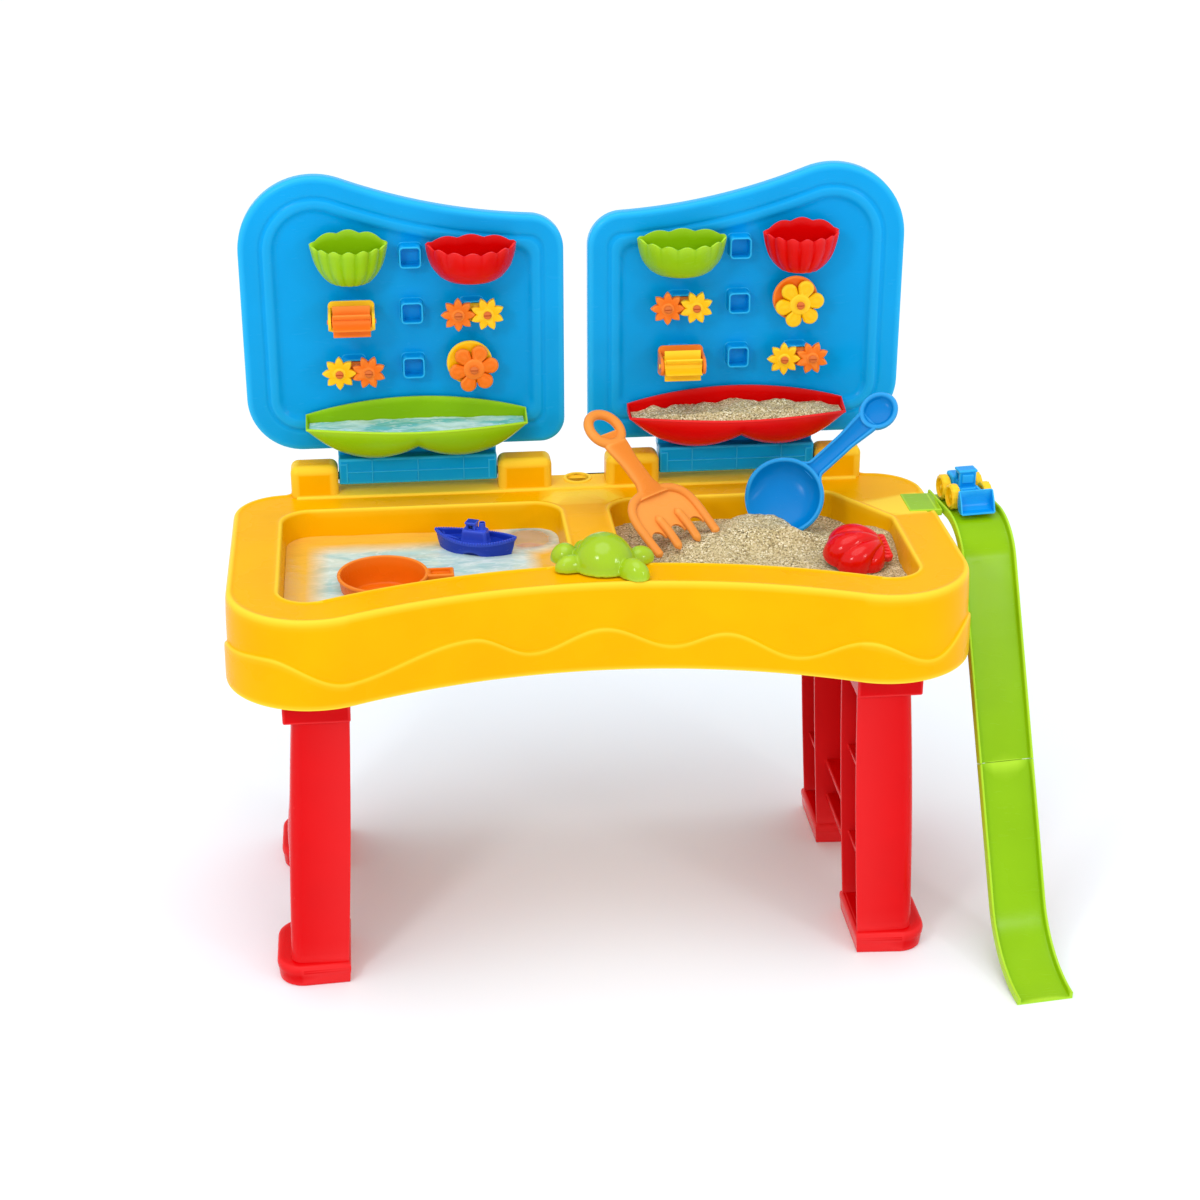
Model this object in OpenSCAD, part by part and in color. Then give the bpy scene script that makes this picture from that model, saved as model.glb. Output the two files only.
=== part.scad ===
// Sand and water table for children: a two-basin tray on two end frames, two upright lids that
// carry funnels, gears, wheels and troughs, a slide with a toy loader, and loose sand toys.
// Table frame used by the modules: X to the right from the tray's middle, Y to the back from the
// front-most edge of the tray, Z up from the floor. on_table() moves it to the part's own origin.

/* [Tray] */
// Width of the tray across its straight sides
tray_w = 700; // [680:5:720]
// Depth from the front lobes to the straight back wall
tray_d = 312; // [308:1:318]
// Height of the tray's rim above the floor
rim_z = 410; // [400:1:430]
// Height of the tray's outer skirt
skirt_h = 88; // [80:1:95]
// How far the skirt stands out at its lower bead
skirt_flare = 6; // [4:1:8]
// Wall thickness of the moulded tray
wall = 3; // [2.5:0.5:3.5]
// Depth of the two basins
basin_depth = 44; // [40:1:48]
// Width of the front rim between the outline and the basins
front_rim = 47; // [44:1:50]
// Width of the rib between the two basins
divider_w = 50; // [46:1:54]
// How far the front edge curves in at its middle
front_dip = 57; // [50:1:60]

/* [Legs] */
// Outward lean of the end frames
leg_splay = 3.2; // [2:0.2:4]
// Height of the feet
foot_h = 22; // [18:1:26]
// Wall thickness of the end frames
leg_wall = 4; // [3:0.5:5]

/* [Lids] */
// Thickness of a lid
lid_t = 15; // [13:1:17]
// Width of one lid
lid_w = 322; // [316:1:326]
// Gap between the two lids
lid_gap = 24; // [20:1:28]
// Height of the lids' lower edge above the floor
lid_bottom_z = 450; // [448:1:456]
// Height of the top of the lids' outer lobe
lid_top_z = 733; // [726:1:740]
// Outer width of a square socket
socket_w = 22; // [21:0.5:23]
// How far a socket stands out of the lid
socket_h = 11; // [10:1:12]

/* [Wheels and gears] */
// Distance between the centres of two meshing gears
gear_centres = 29; // [28.8:0.1:29.6]
// Tip radius of the pointed gears
gear_tip_r = 17.2; // [16.6:0.1:17.2]
// Number of teeth on each gear
gear_teeth = 8; // [8:1:8]
// Radius of the turning pins
pin_r = 2.5; // [2:0.1:2.8]
// Radial running clearance round every pin
pin_gap = 0.08; // [0.05:0.01:0.1]

/* [Slide] */
// Width of the slide's channel over its rails
slide_w = 57; // [52:1:60]
// Height of the slide's side rails
slide_rail = 6; // [5:1:8]
// Height of the slide's platform above the floor
slide_z = 405; // [400:1:407]
// Outward turn of the slide seen from above
slide_turn = 6.3; // [4:0.1:8]
// Angle of the slide's straight run below level
slide_angle = 65.8; // [64:0.2:67]

/* [Hidden] */
$fn = 64;

tray_yellow = "#fcc400";
lid_blue = "#0396db";
leg_red = "#e50012";
toy_green = "#94c81e";
toy_red = "#e82820";
toy_orange = "#f0782d";
rake_orange = "#f6964b";
boat_blue = "#193ca0";
sand_colour = "#cdbe9b";
water_colour = "#b9dce6";

// tray plan
half_w = tray_w / 2;
corner_r = 80;
rear_r = 50;
lobe_x = half_w - corner_r;
front_s = (lobe_x * lobe_x + front_dip * front_dip) / (2 * front_dip);
front_r = front_s - corner_r;
front_cy = front_dip - front_r;
ledge_half = 294;
ledge_y = tray_d + 26;
skirt_z = rim_z - skirt_h;
basin_z = rim_z - basin_depth;
basin_x0 = divider_w / 2;
basin_x1 = half_w - 48;
basin_y1 = tray_d - 47;
basin_r = 28;
basin_arc_r = front_r + front_rim;
plug_x = -58;
plug_y = 236;
plug_r = 16;
parasol_r = 11;
parasol_wall = 3;
parasol_y = ledge_y - 15;

// lid hinge
hinge_y = tray_d + 6;
hinge_z = rim_z + 16;
hinge_pin_r = 4;
block_top = rim_z + 32;
block_y0 = tray_d - 12;
inner_block = [28, 83];
outer_block = [246, 294];
neck_x0 = inner_block[1] + 0.8;
neck_x1 = outer_block[0] - 0.8;
lid_y = tray_d + 18;
lid_x0 = lid_gap / 2;
lid_x1 = lid_x0 + lid_w;
lid_notch_z = lid_top_z - 45;

// sockets
col_outer = 225;
col_mid = 165;
col_inner = 105;
row_z = [lid_top_z - 81, lid_top_z - 138, lid_top_z - 195];
socket_wall = 2;
mouth_y = lid_y - socket_h;

// end frames
leg_x = 241;
leg_w = 53;
leg_y0 = 38;
leg_y1 = tray_d + 20;
post_d = 78;
collar_h = 29;
spigot_h = 26;
panel_z = 55;

// slide
slide_x = half_w + 4.5;
slide_back_y = 255;
slide_flat = 54;
slide_t = 2.4;
bend_r = 53;
toe_r = 100;
toe_angle = 3;
seam_z = 190;
bend_s = slide_flat + bend_r * sin(slide_angle);
bend_z = slide_z - bend_r * (1 - cos(slide_angle));
toe_drop = toe_r * (cos(toe_angle) - cos(slide_angle));
toe_z = toe_drop + slide_t * cos(toe_angle);
run_s = bend_s + (bend_z - toe_z) / tan(slide_angle);
end_s = run_s + toe_r * (sin(slide_angle) - sin(toe_angle));
slide_end_x = slide_x + slide_w * cos(slide_turn) + end_s * sin(slide_turn);
slide_end_y = slide_back_y - end_s * cos(slide_turn);

// part origin: middle of the whole object's box, on the floor
origin_x = (slide_end_x - half_w - skirt_flare) / 2;
origin_y = (slide_end_y + lid_y + lid_t) / 2;

module on_table() {
    translate([-origin_x, -origin_y, 0]) children();
}

module side(s) {
    if (s < 0) mirror([1, 0, 0]) children();
    else children();
}

// a cylinder along Y from y0 towards the back
module rod_y(r, y0, y1) {
    translate([0, y0, 0]) rotate([-90, 0, 0]) cylinder(r = r, h = y1 - y0);
}

// a cylinder along X
module rod_x(r, x0, x1) {
    translate([x0, 0, 0]) rotate([0, 90, 0]) cylinder(r = r, h = x1 - x0);
}

// point of tangency on a circle of radius r round a, on the line towards b
function towards(a, b, r) = a + (b - a) * r / norm(b - a);

// ---------------------------------------------------------------- tray

// outline of the tray, grown outward by g
module tray_plan(g = 0) {
    c = [0, front_cy];
    t = towards(c, [lobe_x, corner_r], front_r - g);
    difference() {
        union() {
            for (s = [-1, 1]) {
                translate([s * lobe_x, corner_r]) circle(r = corner_r + g);
                translate([s * (half_w - rear_r), tray_d - rear_r]) circle(r = rear_r + g);
            }
            polygon([[-t[0], t[1]], [t[0], t[1]], [lobe_x, corner_r], [half_w + g, corner_r],
                [half_w + g, tray_d - rear_r], [half_w - rear_r, tray_d - rear_r],
                [half_w - rear_r, tray_d + g], [rear_r - half_w, tray_d + g],
                [rear_r - half_w, tray_d - rear_r], [-half_w - g, tray_d - rear_r],
                [-half_w - g, corner_r], [-lobe_x, corner_r]]);
            translate([-ledge_half - g, tray_d - 12]) square([2 * (ledge_half + g), 38 + g]);
        }
        translate(c) circle(r = front_r - g, $fn = 160);
    }
}

// outline of the right-hand basin, grown outward by g
module basin_plan(g = 0, cut_corner = false) {
    c = [0, front_cy];
    near = basin_arc_r + basin_r;
    x0 = basin_x0 + basin_r;
    x1 = basin_x1 - basin_r;
    y1 = basin_y1 - basin_r;
    p0 = [x0, front_cy + sqrt(near * near - x0 * x0)];
    p1 = [x1, front_cy + sqrt(near * near - x1 * x1)];
    t0 = towards(c, p0, basin_arc_r - g);
    t1 = towards(c, p1, basin_arc_r - g);
    difference() {
        union() {
            for (p = [p0, p1, [x0, y1], [x1, y1]]) translate(p) circle(r = basin_r + g);
            polygon([t0, t1, p1, [basin_x1 + g, p1[1]], [basin_x1 + g, y1], [x1, y1],
                [x1, basin_y1 + g], [x0, basin_y1 + g], [x0, y1], [basin_x0 - g, y1],
                [basin_x0 - g, p0[1]], p0]);
        }
        translate(c) circle(r = basin_arc_r - g, $fn = 160);
        if (cut_corner)
            polygon([[basin_x1 - 56 + g, basin_y1 + 9], [basin_x1 + 9, basin_y1 - 88 + g],
                [basin_x1 + 9, basin_y1 + 9]]);
    }
}

// both rear and front leg sockets of one side as blocks, grown outward by g
module leg_blocks(g, z0, z1) {
    for (y = [leg_y0 + 6, leg_y1 - post_d + 6])
        translate([leg_x + 4 - g, y - g, z0])
            cube([leg_w - 8 + 2 * g, post_d - 12 + 2 * g, z1 - z0]);
}

module hinge_block(span) {
    difference() {
        translate([span[0], block_y0, rim_z]) cube([span[1] - span[0], 32, block_top - rim_z]);
        translate([span[0] - 1, block_y0, block_top]) rotate([0, 90, 0])
            linear_extrude(span[1] - span[0] + 2) difference() {
                square(10, center = true);
                translate([5, 5]) circle(r = 5);
            }
        translate([0, hinge_y, hinge_z]) rod_x(hinge_pin_r + pin_gap, span[0] - 1, span[1] + 1);
    }
}

// the deck: a plate with a hole for each basin and the parasol tube, and a slot for the slide's tab
module tray() {
    on_table() color(tray_yellow) difference() {
        union() {
            translate([0, 0, rim_z - 6]) linear_extrude(6) tray_plan(0);
            translate([half_w - 28, 202, rim_z - wall - 7]) cube([28 - wall, 49, 8]);
        }
        difference() {
            translate([0, 0, rim_z - 7]) linear_extrude(7 - wall) tray_plan(-wall);
            translate([half_w - 28, 202, rim_z - wall - 7]) cube([28 - wall, 49, 8]);
        }
        for (s = [-1, 1]) side(s)
            translate([0, 0, rim_z - 7]) linear_extrude(8) basin_plan(wall, s > 0);
        translate([0, parasol_y, rim_z - 7]) cylinder(r = parasol_r + parasol_wall, h = 8);
        translate([half_w - 27, 203, rim_z - 4]) cube([40, 47, 6]);
    }
}

module tray_skirt() {
    on_table() color(tray_yellow) difference() {
        union() {
            translate([0, 0, skirt_z]) linear_extrude(12) tray_plan(skirt_flare);
            translate([0, 0, skirt_z + 12]) linear_extrude(skirt_h - 18) tray_plan(3);
        }
        translate([0, 0, skirt_z - 1]) linear_extrude(skirt_h + 1) tray_plan(-wall);
    }
}

module basin(cut_corner) {
    difference() {
        translate([0, 0, basin_z - wall]) linear_extrude(basin_depth + wall)
            basin_plan(wall, cut_corner);
        translate([0, 0, basin_z]) linear_extrude(basin_depth + 1) basin_plan(0, cut_corner);
    }
}

module basin_left() {
    on_table() color(tray_yellow) difference() {
        side(-1) basin(false);
        translate([plug_x, plug_y, basin_z - 10]) cylinder(r = plug_r, h = 20);
    }
}

module basin_right() {
    on_table() color(tray_yellow) basin(true);
}

// closed-top boxes under the basin floors that the end frames' spigots push up into
module leg_sockets() {
    on_table() color(tray_yellow) intersection() {
        for (s = [-1, 1]) side(s) difference() {
            leg_blocks(wall + 0.3, skirt_z, basin_z - wall);
            leg_blocks(0.3, skirt_z - 1, skirt_z + spigot_h + 2);
        }
        translate([0, 0, skirt_z - 2]) linear_extrude(skirt_h) tray_plan(-wall);
    }
}

module hinge_blocks() {
    on_table() color(tray_yellow) for (s = [-1, 1]) side(s) {
        hinge_block(inner_block);
        hinge_block(outer_block);
    }
}

module parasol_tube() {
    on_table() color(tray_yellow) difference() {
        union() {
            intersection() {
                translate([0, parasol_y, skirt_z]) cylinder(r = parasol_r + parasol_wall, h = skirt_h - 6);
                translate([0, 0, skirt_z]) linear_extrude(skirt_h) tray_plan(-wall);
            }
            translate([0, parasol_y, rim_z - 6]) cylinder(r = parasol_r + parasol_wall, h = 9);
        }
        translate([0, parasol_y, skirt_z - 1]) cylinder(r = parasol_r, h = skirt_h + 5);
    }
}

module drain_plug() {
    on_table() color(rake_orange) translate([plug_x, plug_y, 0]) difference() {
        union() {
            translate([0, 0, basin_z + 0.3]) cylinder(r = 21, h = 3);
            translate([0, 0, basin_z - 8]) cylinder(r = plug_r - 0.3, h = 9);
            translate([0, 0, basin_z + 3.3]) cylinder(r = 6, h = 5);
        }
        translate([0, 0, basin_z - 9]) cylinder(r = plug_r - 3, h = 9);
    }
}

// ---------------------------------------------------------------- end frames

// plan of one leg post: a channel open towards the table's middle
module post_plan(d) {
    r = 12;
    difference() {
        union() {
            square([leg_w - r, d]);
            translate([leg_w - r - 1, r]) square([r + 1, d - 2 * r]);
            for (y = [r, d - r]) translate([leg_w - r, y]) circle(r = r);
        }
        translate([-1, leg_wall]) square([leg_w + 1 - leg_wall, d - 2 * leg_wall]);
    }
}

module foot(y0, y1) {
    r = 26;
    translate([0, 0, 0]) linear_extrude(foot_h) union() {
        translate([252, y0]) square([73 - r, y1 - y0]);
        translate([324 - r, y0 + r]) square([r + 1, y1 - y0 - 2 * r]);
        for (y = [y0 + r, y1 - r]) translate([325 - r, y]) circle(r = r);
    }
}

module leg_frame() {
    lean = leg_splay;
    intersection() {
        translate([leg_x, 0, skirt_z]) rotate([0, -lean, 0]) translate([0, 0, -skirt_z - 20])
            union() {
                translate([0, leg_y0, 0]) linear_extrude(skirt_z + 20) post_plan(post_d);
                translate([0, leg_y1 - post_d, 0]) linear_extrude(skirt_z + 20)
                    post_plan(post_d);
                translate([leg_w - 10, leg_y0 + post_d - 2, panel_z + 20])
                    cube([leg_wall, leg_y1 - leg_y0 - 2 * post_d + 4, skirt_z - panel_z]);
                translate([10, leg_y0 + post_d - 2, panel_z + 20])
                    cube([leg_w - 10, leg_y1 - leg_y0 - 2 * post_d + 4, leg_wall]);
            }
        translate([200, 0, foot_h - 2]) cube([160, 400, skirt_z - foot_h + 2]);
    }
    foot(30, 122);
    foot(leg_y1 - post_d - 6, leg_y1 + 8);
    difference() {
        translate([leg_x, leg_y0 - 6, skirt_z - collar_h])
            cube([leg_w + 8, leg_y1 - leg_y0 + 10, collar_h]);
        translate([leg_x - 1, leg_y0 - 6 + leg_wall, skirt_z - collar_h - 1])
            cube([leg_w + 9 - leg_wall, leg_y1 - leg_y0 + 10 - 2 * leg_wall, collar_h + 1 - wall]);
    }
    for (y = [leg_y0 + 6, leg_y1 - post_d + 6])
        translate([leg_x + 4, y, skirt_z - 1]) difference() {
            cube([leg_w - 8, post_d - 12, spigot_h + 1]);
            translate([leg_wall, leg_wall, -1])
                cube([leg_w - 8 - 2 * leg_wall, post_d - 12 - 2 * leg_wall, spigot_h + 3]);
        }
}

module leg_frame_left() {
    on_table() color(leg_red) side(-1) leg_frame();
}

module leg_frame_right() {
    on_table() color(leg_red) leg_frame();
}

// ---------------------------------------------------------------- lids

// face outline of the right-hand lid, moved in by g; drawn with Y as height
module lid_plan(g = 0) {
    r_min = 14;
    r_lobe = max(76 - g, r_min);
    r_inner = max(35 - g, r_min);
    r_low = max(55 - g, r_min);
    r_low_in = max(25 - g, r_min);
    x0 = lid_x0 + g;
    x1 = lid_x1 - g;
    z0 = lid_bottom_z + g;
    lobe = [x1 - r_lobe, lid_top_z - g - r_lobe];
    dx = lobe[0] - lid_x0;
    drop = lid_notch_z - g - lobe[1];
    dip_r = (dx * dx + drop * drop - r_lobe * r_lobe) / (2 * (r_lobe - drop));
    dip = [lid_x0, lid_notch_z - g + dip_r];
    near = dip_r + r_inner;
    inner = [x0 + r_inner, dip[1] - sqrt(near * near - pow(x0 + r_inner - lid_x0, 2))];
    t_lobe = towards(dip, lobe, dip_r);
    t_inner = towards(dip, inner, dip_r);
    difference() {
        union() {
            translate(lobe) circle(r = r_lobe);
            translate(inner) circle(r = r_inner);
            translate([x1 - r_low, z0 + r_low]) circle(r = r_low);
            translate([x0 + r_low_in, z0 + r_low_in]) circle(r = r_low_in);
            polygon([[x0, z0 + r_low_in], [x0 + r_low_in, z0 + r_low_in], [x0 + r_low_in, z0],
                [x1 - r_low, z0], [x1 - r_low, z0 + r_low], [x1, z0 + r_low], [x1, lobe[1]],
                lobe, t_lobe, t_inner, inner, [x0, inner[1]]]);
        }
        translate(dip) circle(r = dip_r, $fn = 160);
    }
}

// stands a face outline up as a plate from y0 to y1
module upright(y0, y1) {
    translate([0, y1, 0]) rotate([90, 0, 0]) linear_extrude(y1 - y0) children();
}

module at_socket(col, row) {
    translate([col, 0, row_z[row]]) children();
}

module square_y(w, y0, y1) {
    translate([-w / 2, y0, -w / 2]) cube([w, y1 - y0, w]);
}

module lid() {
    difference() {
        union() {
            difference() {
                upright(lid_y, lid_y + lid_t) lid_plan(0);
                upright(lid_y - 1, lid_y + 4) lid_plan(36);
                upright(lid_y + 8, lid_y + lid_t + 1) lid_plan(10);
            }
            for (col = [col_inner, col_mid, col_outer], row = [0 : 2])
                at_socket(col, row) square_y(socket_w, mouth_y, lid_y + 6);
            translate([neck_x0, hinge_y + 2, hinge_z]) cube([neck_x1 - neck_x0, 16, 20]);
            translate([neck_x0, lid_y, hinge_z + 10]) cube([neck_x1 - neck_x0, 13, 19]);
            translate([0, hinge_y, hinge_z]) rod_x(8.5, neck_x0, neck_x1);
        }
        for (col = [col_inner, col_mid, col_outer], row = [0 : 2])
            at_socket(col, row) square_y(socket_w - 2 * socket_wall, mouth_y - 1, lid_y + 2);
        for (x = [neck_x0 - 1, neck_x1 - 19])
            translate([0, hinge_y, hinge_z]) rod_x(hinge_pin_r, x, x + 20);
    }
}

module hinge_pins() {
    translate([0, hinge_y, hinge_z]) {
        rod_x(hinge_pin_r, inner_block[0] + 10, neck_x0 + 19);
        rod_x(hinge_pin_r, neck_x1 - 19, outer_block[1] - 10);
    }
}

module lid_left() {
    on_table() color(lid_blue) side(-1) lid();
}

module lid_right() {
    on_table() color(lid_blue) lid();
}

module hinge_pins_left() {
    on_table() color(lid_blue) side(-1) hinge_pins();
}

module hinge_pins_right() {
    on_table() color(lid_blue) hinge_pins();
}

// ---------------------------------------------------------------- troughs

trough_x = 164;
trough_half = 112;
trough_depth = 60;
trough_end = 26;
trough_bow = trough_depth - trough_end;
trough_r = (trough_half * trough_half + trough_bow * trough_bow) / (2 * trough_bow);
trough_rim = rim_z + 76;
trough_back = lid_y - 0.4;
trough_t = 2.4;

// the trough's outer shape moved in by g, cut off at height top
module trough_shape(g, top) {
    intersection() {
        translate([0, trough_back - trough_depth + trough_r, 0]) cylinder(r = trough_r - g,
            h = top);
        translate([-trough_half + g, trough_back - 90, 0])
            cube([2 * (trough_half - g), 90 - g, top]);
        union() {
            for (s = [-1, 1]) translate([46 * s, 0, trough_rim + 46])
                rod_y(84 - g, trough_back - 90, trough_back);
        }
        translate([0, trough_back - 2, trough_rim + 24]) rod_x(64 - g, -150, 150);
    }
}

module trough() {
    difference() {
        union() {
            trough_shape(0, trough_rim);
            intersection() {
                translate([-trough_half, trough_back - 6, trough_rim - 12])
                    cube([2 * trough_half, 6, 31]);
                translate([0, 0, trough_rim - 381]) rod_y(400, trough_back - 10, trough_back);
            }
        }
        trough_shape(trough_t, trough_rim + 1);
        translate([-trough_half + 4, trough_back - 30, trough_rim - 3])
            cube([2 * trough_half - 8, 27.6, 60]);
        for (s = [-1, 1]) translate([50 * s, trough_back - 20, trough_rim - 60])
            cylinder(r = 4, h = 40);
    }
}

module trough_left() {
    on_table() color(toy_green) translate([-trough_x, 0, 0]) trough();
}

module trough_right() {
    on_table() color(toy_red) translate([trough_x, 0, 0]) trough();
}

module trough_fill() {
    intersection() {
        trough_shape(trough_t + 0.3, trough_rim - 9);
        translate([-150, 0, trough_rim - 18]) cube([300, 400, 20]);
    }
}

module trough_water() {
    on_table() color(water_colour) translate([-trough_x, 0, 0]) trough_fill();
}

module trough_sand() {
    on_table() color(sand_colour) translate([trough_x, 0, 0]) trough_fill();
}

// ---------------------------------------------------------------- funnels

// fluted half funnel with its flat back on the socket mouth plane; w across, h tall
module funnel(w, h, w_low, depth, drop) {
    r = w / 2;
    r_low = w_low / 2;
    shift = depth - r;
    flutes = 12;
    back = mouth_y - 0.4;
    flute_r = r * 0.27;
    translate([0, 0, -drop]) difference() {
        union() {
            intersection() {
                union() {
                    translate([0, back - shift, 6])
                        cylinder(r1 = r_low, r2 = r - 3, h = h - 14);
                    translate([0, back - shift, h - 8]) linear_extrude(8) scallops(r, flutes,
                        flute_r, 0);
                    translate([0, back - shift, 0]) cylinder(r = r_low + 1, h = 6);
                }
                translate([-r - 9, back - 2 * r, -1]) cube([2 * r + 18, 2 * r, h + 9]);
            }
            translate([-8, back - 1, drop - 2]) cube([16, socket_h, 4]);
            translate([-2, back - 1, drop - 8]) cube([4, socket_h, 16]);
        }
        intersection() {
            union() {
                translate([0, back - shift, 8]) cylinder(r1 = r_low - 2, r2 = r - 5, h = h - 16);
                translate([0, back - shift, h - 8.01]) linear_extrude(9) scallops(r, flutes,
                    flute_r, 2);
                translate([0, back - shift, -1]) cylinder(r = r_low - 3, h = 12);
            }
            translate([-r - 9, back - 2 * r - 2.4, -2]) cube([2 * r + 18, 2 * r, h + 9]);
        }
    }
}

module scallops(r, n, flute_r, g) {
    circle(r = r - flute_r);
    for (k = [0 : n - 1]) rotate(k * 360 / n)
        translate([r - flute_r, 0]) circle(r = flute_r - g);
}

module funnel_left_outer() {
    on_table() color(toy_green) at_socket(-col_outer, 0) funnel(76, 52, 38, 36, 24);
}

module funnel_left_inner() {
    on_table() color(toy_red) at_socket(-col_inner, 0) funnel(94, 46, 46, 40, 23);
}

module funnel_right_inner() {
    on_table() color(toy_green) at_socket(col_inner, 0) funnel(94, 46, 46, 40, 23);
}

module funnel_right_outer() {
    on_table() color(toy_red) at_socket(col_outer, 0) funnel(76, 52, 38, 36, 24);
}

// ---------------------------------------------------------------- gear pairs

gear_t = 6;
bar_t = 4;
bar_y = mouth_y - bar_t - 0.3;
gear_y = bar_y - 1 - gear_t;
peg_w = socket_w - 2 * socket_wall - 0.4;

// a bar on a square peg, with a pin for each gear
module gear_bar() {
    half = gear_centres / 2;
    square_y(peg_w, bar_y + 1, lid_y - 1);
    translate([-half, bar_y, -5]) cube([gear_centres, bar_t, 10]);
    for (x = [-half, half]) translate([x, 0, 0]) {
        rod_y(6, bar_y, bar_y + bar_t);
        rod_y(pin_r, gear_y - 1.5, bar_y + 1);
        rod_y(4.5, bar_y - 0.7, bar_y + 1);
    }
}

// star-toothed gear, turned by a about its own axis
module gear(a) {
    root = gear_tip_r - 6.6;
    step = 180 / gear_teeth;
    difference() {
        union() {
            upright(gear_y, gear_y + gear_t) polygon([for (k = [0 : 2 * gear_teeth - 1])
                (k % 2 == 0 ? gear_tip_r : root)
                    * [cos(k * step + a), sin(k * step + a)]]);
            rod_y(6, gear_y - 1, gear_y + gear_t);
        }
        rod_y(pin_r + pin_gap, gear_y - 5, gear_y + gear_t + 5);
    }
}

// places its children on the left or right gear of the pair at a socket
module gear_place(col, row, s) {
    at_socket(col, row) translate([s * gear_centres / 2, 0, 0]) children();
}

module gear_bar_a() {
    on_table() color(toy_orange) at_socket(-col_outer, 2) gear_bar();
}

module gear_bar_b() {
    on_table() color(tray_yellow) at_socket(-col_inner, 1) gear_bar();
}

module gear_bar_c() {
    on_table() color(toy_orange) at_socket(col_inner, 1) gear_bar();
}

module gear_bar_d() {
    on_table() color(toy_orange) at_socket(col_outer, 2) gear_bar();
}

module gear_a1() {
    on_table() color(tray_yellow) gear_place(-col_outer, 2, -1) gear(0);
}

module gear_a2() {
    on_table() color(toy_orange) gear_place(-col_outer, 2, 1) gear(180 / gear_teeth);
}

module gear_b1() {
    on_table() color(toy_orange) gear_place(-col_inner, 1, -1) gear(0);
}

module gear_b2() {
    on_table() color(tray_yellow) gear_place(-col_inner, 1, 1) gear(180 / gear_teeth);
}

module gear_c1() {
    on_table() color(toy_orange) gear_place(col_inner, 1, -1) gear(0);
}

module gear_c2() {
    on_table() color(tray_yellow) gear_place(col_inner, 1, 1) gear(180 / gear_teeth);
}

module gear_d1() {
    on_table() color(tray_yellow) gear_place(col_outer, 2, -1) gear(0);
}

module gear_d2() {
    on_table() color(toy_orange) gear_place(col_outer, 2, 1) gear(180 / gear_teeth);
}

// ---------------------------------------------------------------- flower wheels

disc_r = 23;
flower_r = 25;

// fixed disc on a peg, offset up and to the left of the pin that carries the flower
module flower_disc() {
    square_y(peg_w, mouth_y - 2, lid_y - 1);
    translate([-4, 0, 5]) rod_y(disc_r, mouth_y - 3.3, mouth_y - 0.3);
    rod_y(7, mouth_y - 4.5, mouth_y - 2);
    rod_y(pin_r, mouth_y - 12.5, mouth_y - 2);
}

module flower_wheel() {
    petals = 6;
    petal_r = 8.2;
    difference() {
        union() {
            for (k = [0 : petals - 1]) rotate([0, k * 360 / petals + 20, 0])
                translate([0, 0, flower_r - petal_r]) rod_y(petal_r, mouth_y - 10, mouth_y - 5);
            rod_y(13, mouth_y - 11, mouth_y - 5);
        }
        rod_y(pin_r + pin_gap, mouth_y - 20, mouth_y);
    }
}

module flower_disc_left() {
    on_table() color(tray_yellow) at_socket(-col_inner, 2) flower_disc();
}

module flower_disc_right() {
    on_table() color(toy_orange) at_socket(col_outer, 1) flower_disc();
}

module flower_wheel_left() {
    on_table() color(toy_orange) at_socket(-col_inner, 2) flower_wheel();
}

module flower_wheel_right() {
    on_table() color(tray_yellow) at_socket(col_outer, 1) flower_wheel();
}

// ---------------------------------------------------------------- paddle wheels

fork_w = 46;
paddle_y = mouth_y - 20;
axle_r = 2.5;

// a fork on a square peg that holds the paddle wheel's axle between two cheeks
module paddle_bracket() {
    difference() {
        union() {
            square_y(peg_w, mouth_y - 2, lid_y - 1);
            translate([-fork_w / 2, mouth_y - 3.3, -16]) cube([fork_w, 3, 32]);
            for (x = [-fork_w / 2, fork_w / 2 - 3]) {
                translate([x, paddle_y, -9]) cube([3, mouth_y - paddle_y - 1, 18]);
                translate([x, paddle_y, 0]) rotate([0, 90, 0]) cylinder(r = 9, h = 3);
            }
        }
        translate([0, paddle_y, 0]) rod_x(axle_r + pin_gap, -fork_w, fork_w);
    }
}

module paddle_wheel() {
    blades = 6;
    inner_w = fork_w - 7;
    translate([0, paddle_y, 0]) {
        rod_x(axle_r, -fork_w / 2 - 1, fork_w / 2 + 1);
        rod_x(6, -inner_w / 2, inner_w / 2);
        for (k = [0 : blades - 1]) rotate([k * 360 / blades + 15, 0, 0])
            translate([1 - inner_w / 2, -1, 4]) cube([inner_w - 2, 2, 11.5]);
    }
}

module paddle_bracket_left() {
    on_table() color(tray_yellow) at_socket(-col_outer, 1) paddle_bracket();
}

module paddle_bracket_right() {
    on_table() color(toy_orange) at_socket(col_inner, 2) paddle_bracket();
}

module paddle_wheel_left() {
    on_table() color(toy_orange) at_socket(-col_outer, 1) paddle_wheel();
}

module paddle_wheel_right() {
    on_table() color(tray_yellow) at_socket(col_inner, 2) paddle_wheel();
}

// ---------------------------------------------------------------- pin caps

// slotted cap on the end of a pin whose end face is at y
module pin_cap(y) {
    difference() {
        rod_y(4, y - 2, y);
        translate([-5, y - 2.5, -0.6]) cube([10, 1.3, 1.2]);
    }
}

module gear_caps() {
    for (s = [-1, 1]) translate([s * gear_centres / 2, 0, 0]) pin_cap(gear_y - 1.5);
}

module pin_caps_left() {
    on_table() color(toy_orange) {
        at_socket(-col_outer, 2) gear_caps();
        at_socket(-col_inner, 1) gear_caps();
        at_socket(-col_inner, 2) pin_cap(mouth_y - 12.5);
    }
}

module pin_caps_right() {
    on_table() color(tray_yellow) {
        at_socket(col_inner, 1) gear_caps();
        at_socket(col_outer, 2) gear_caps();
        at_socket(col_outer, 1) pin_cap(mouth_y - 12.5);
    }
}

// ---------------------------------------------------------------- slide

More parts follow.
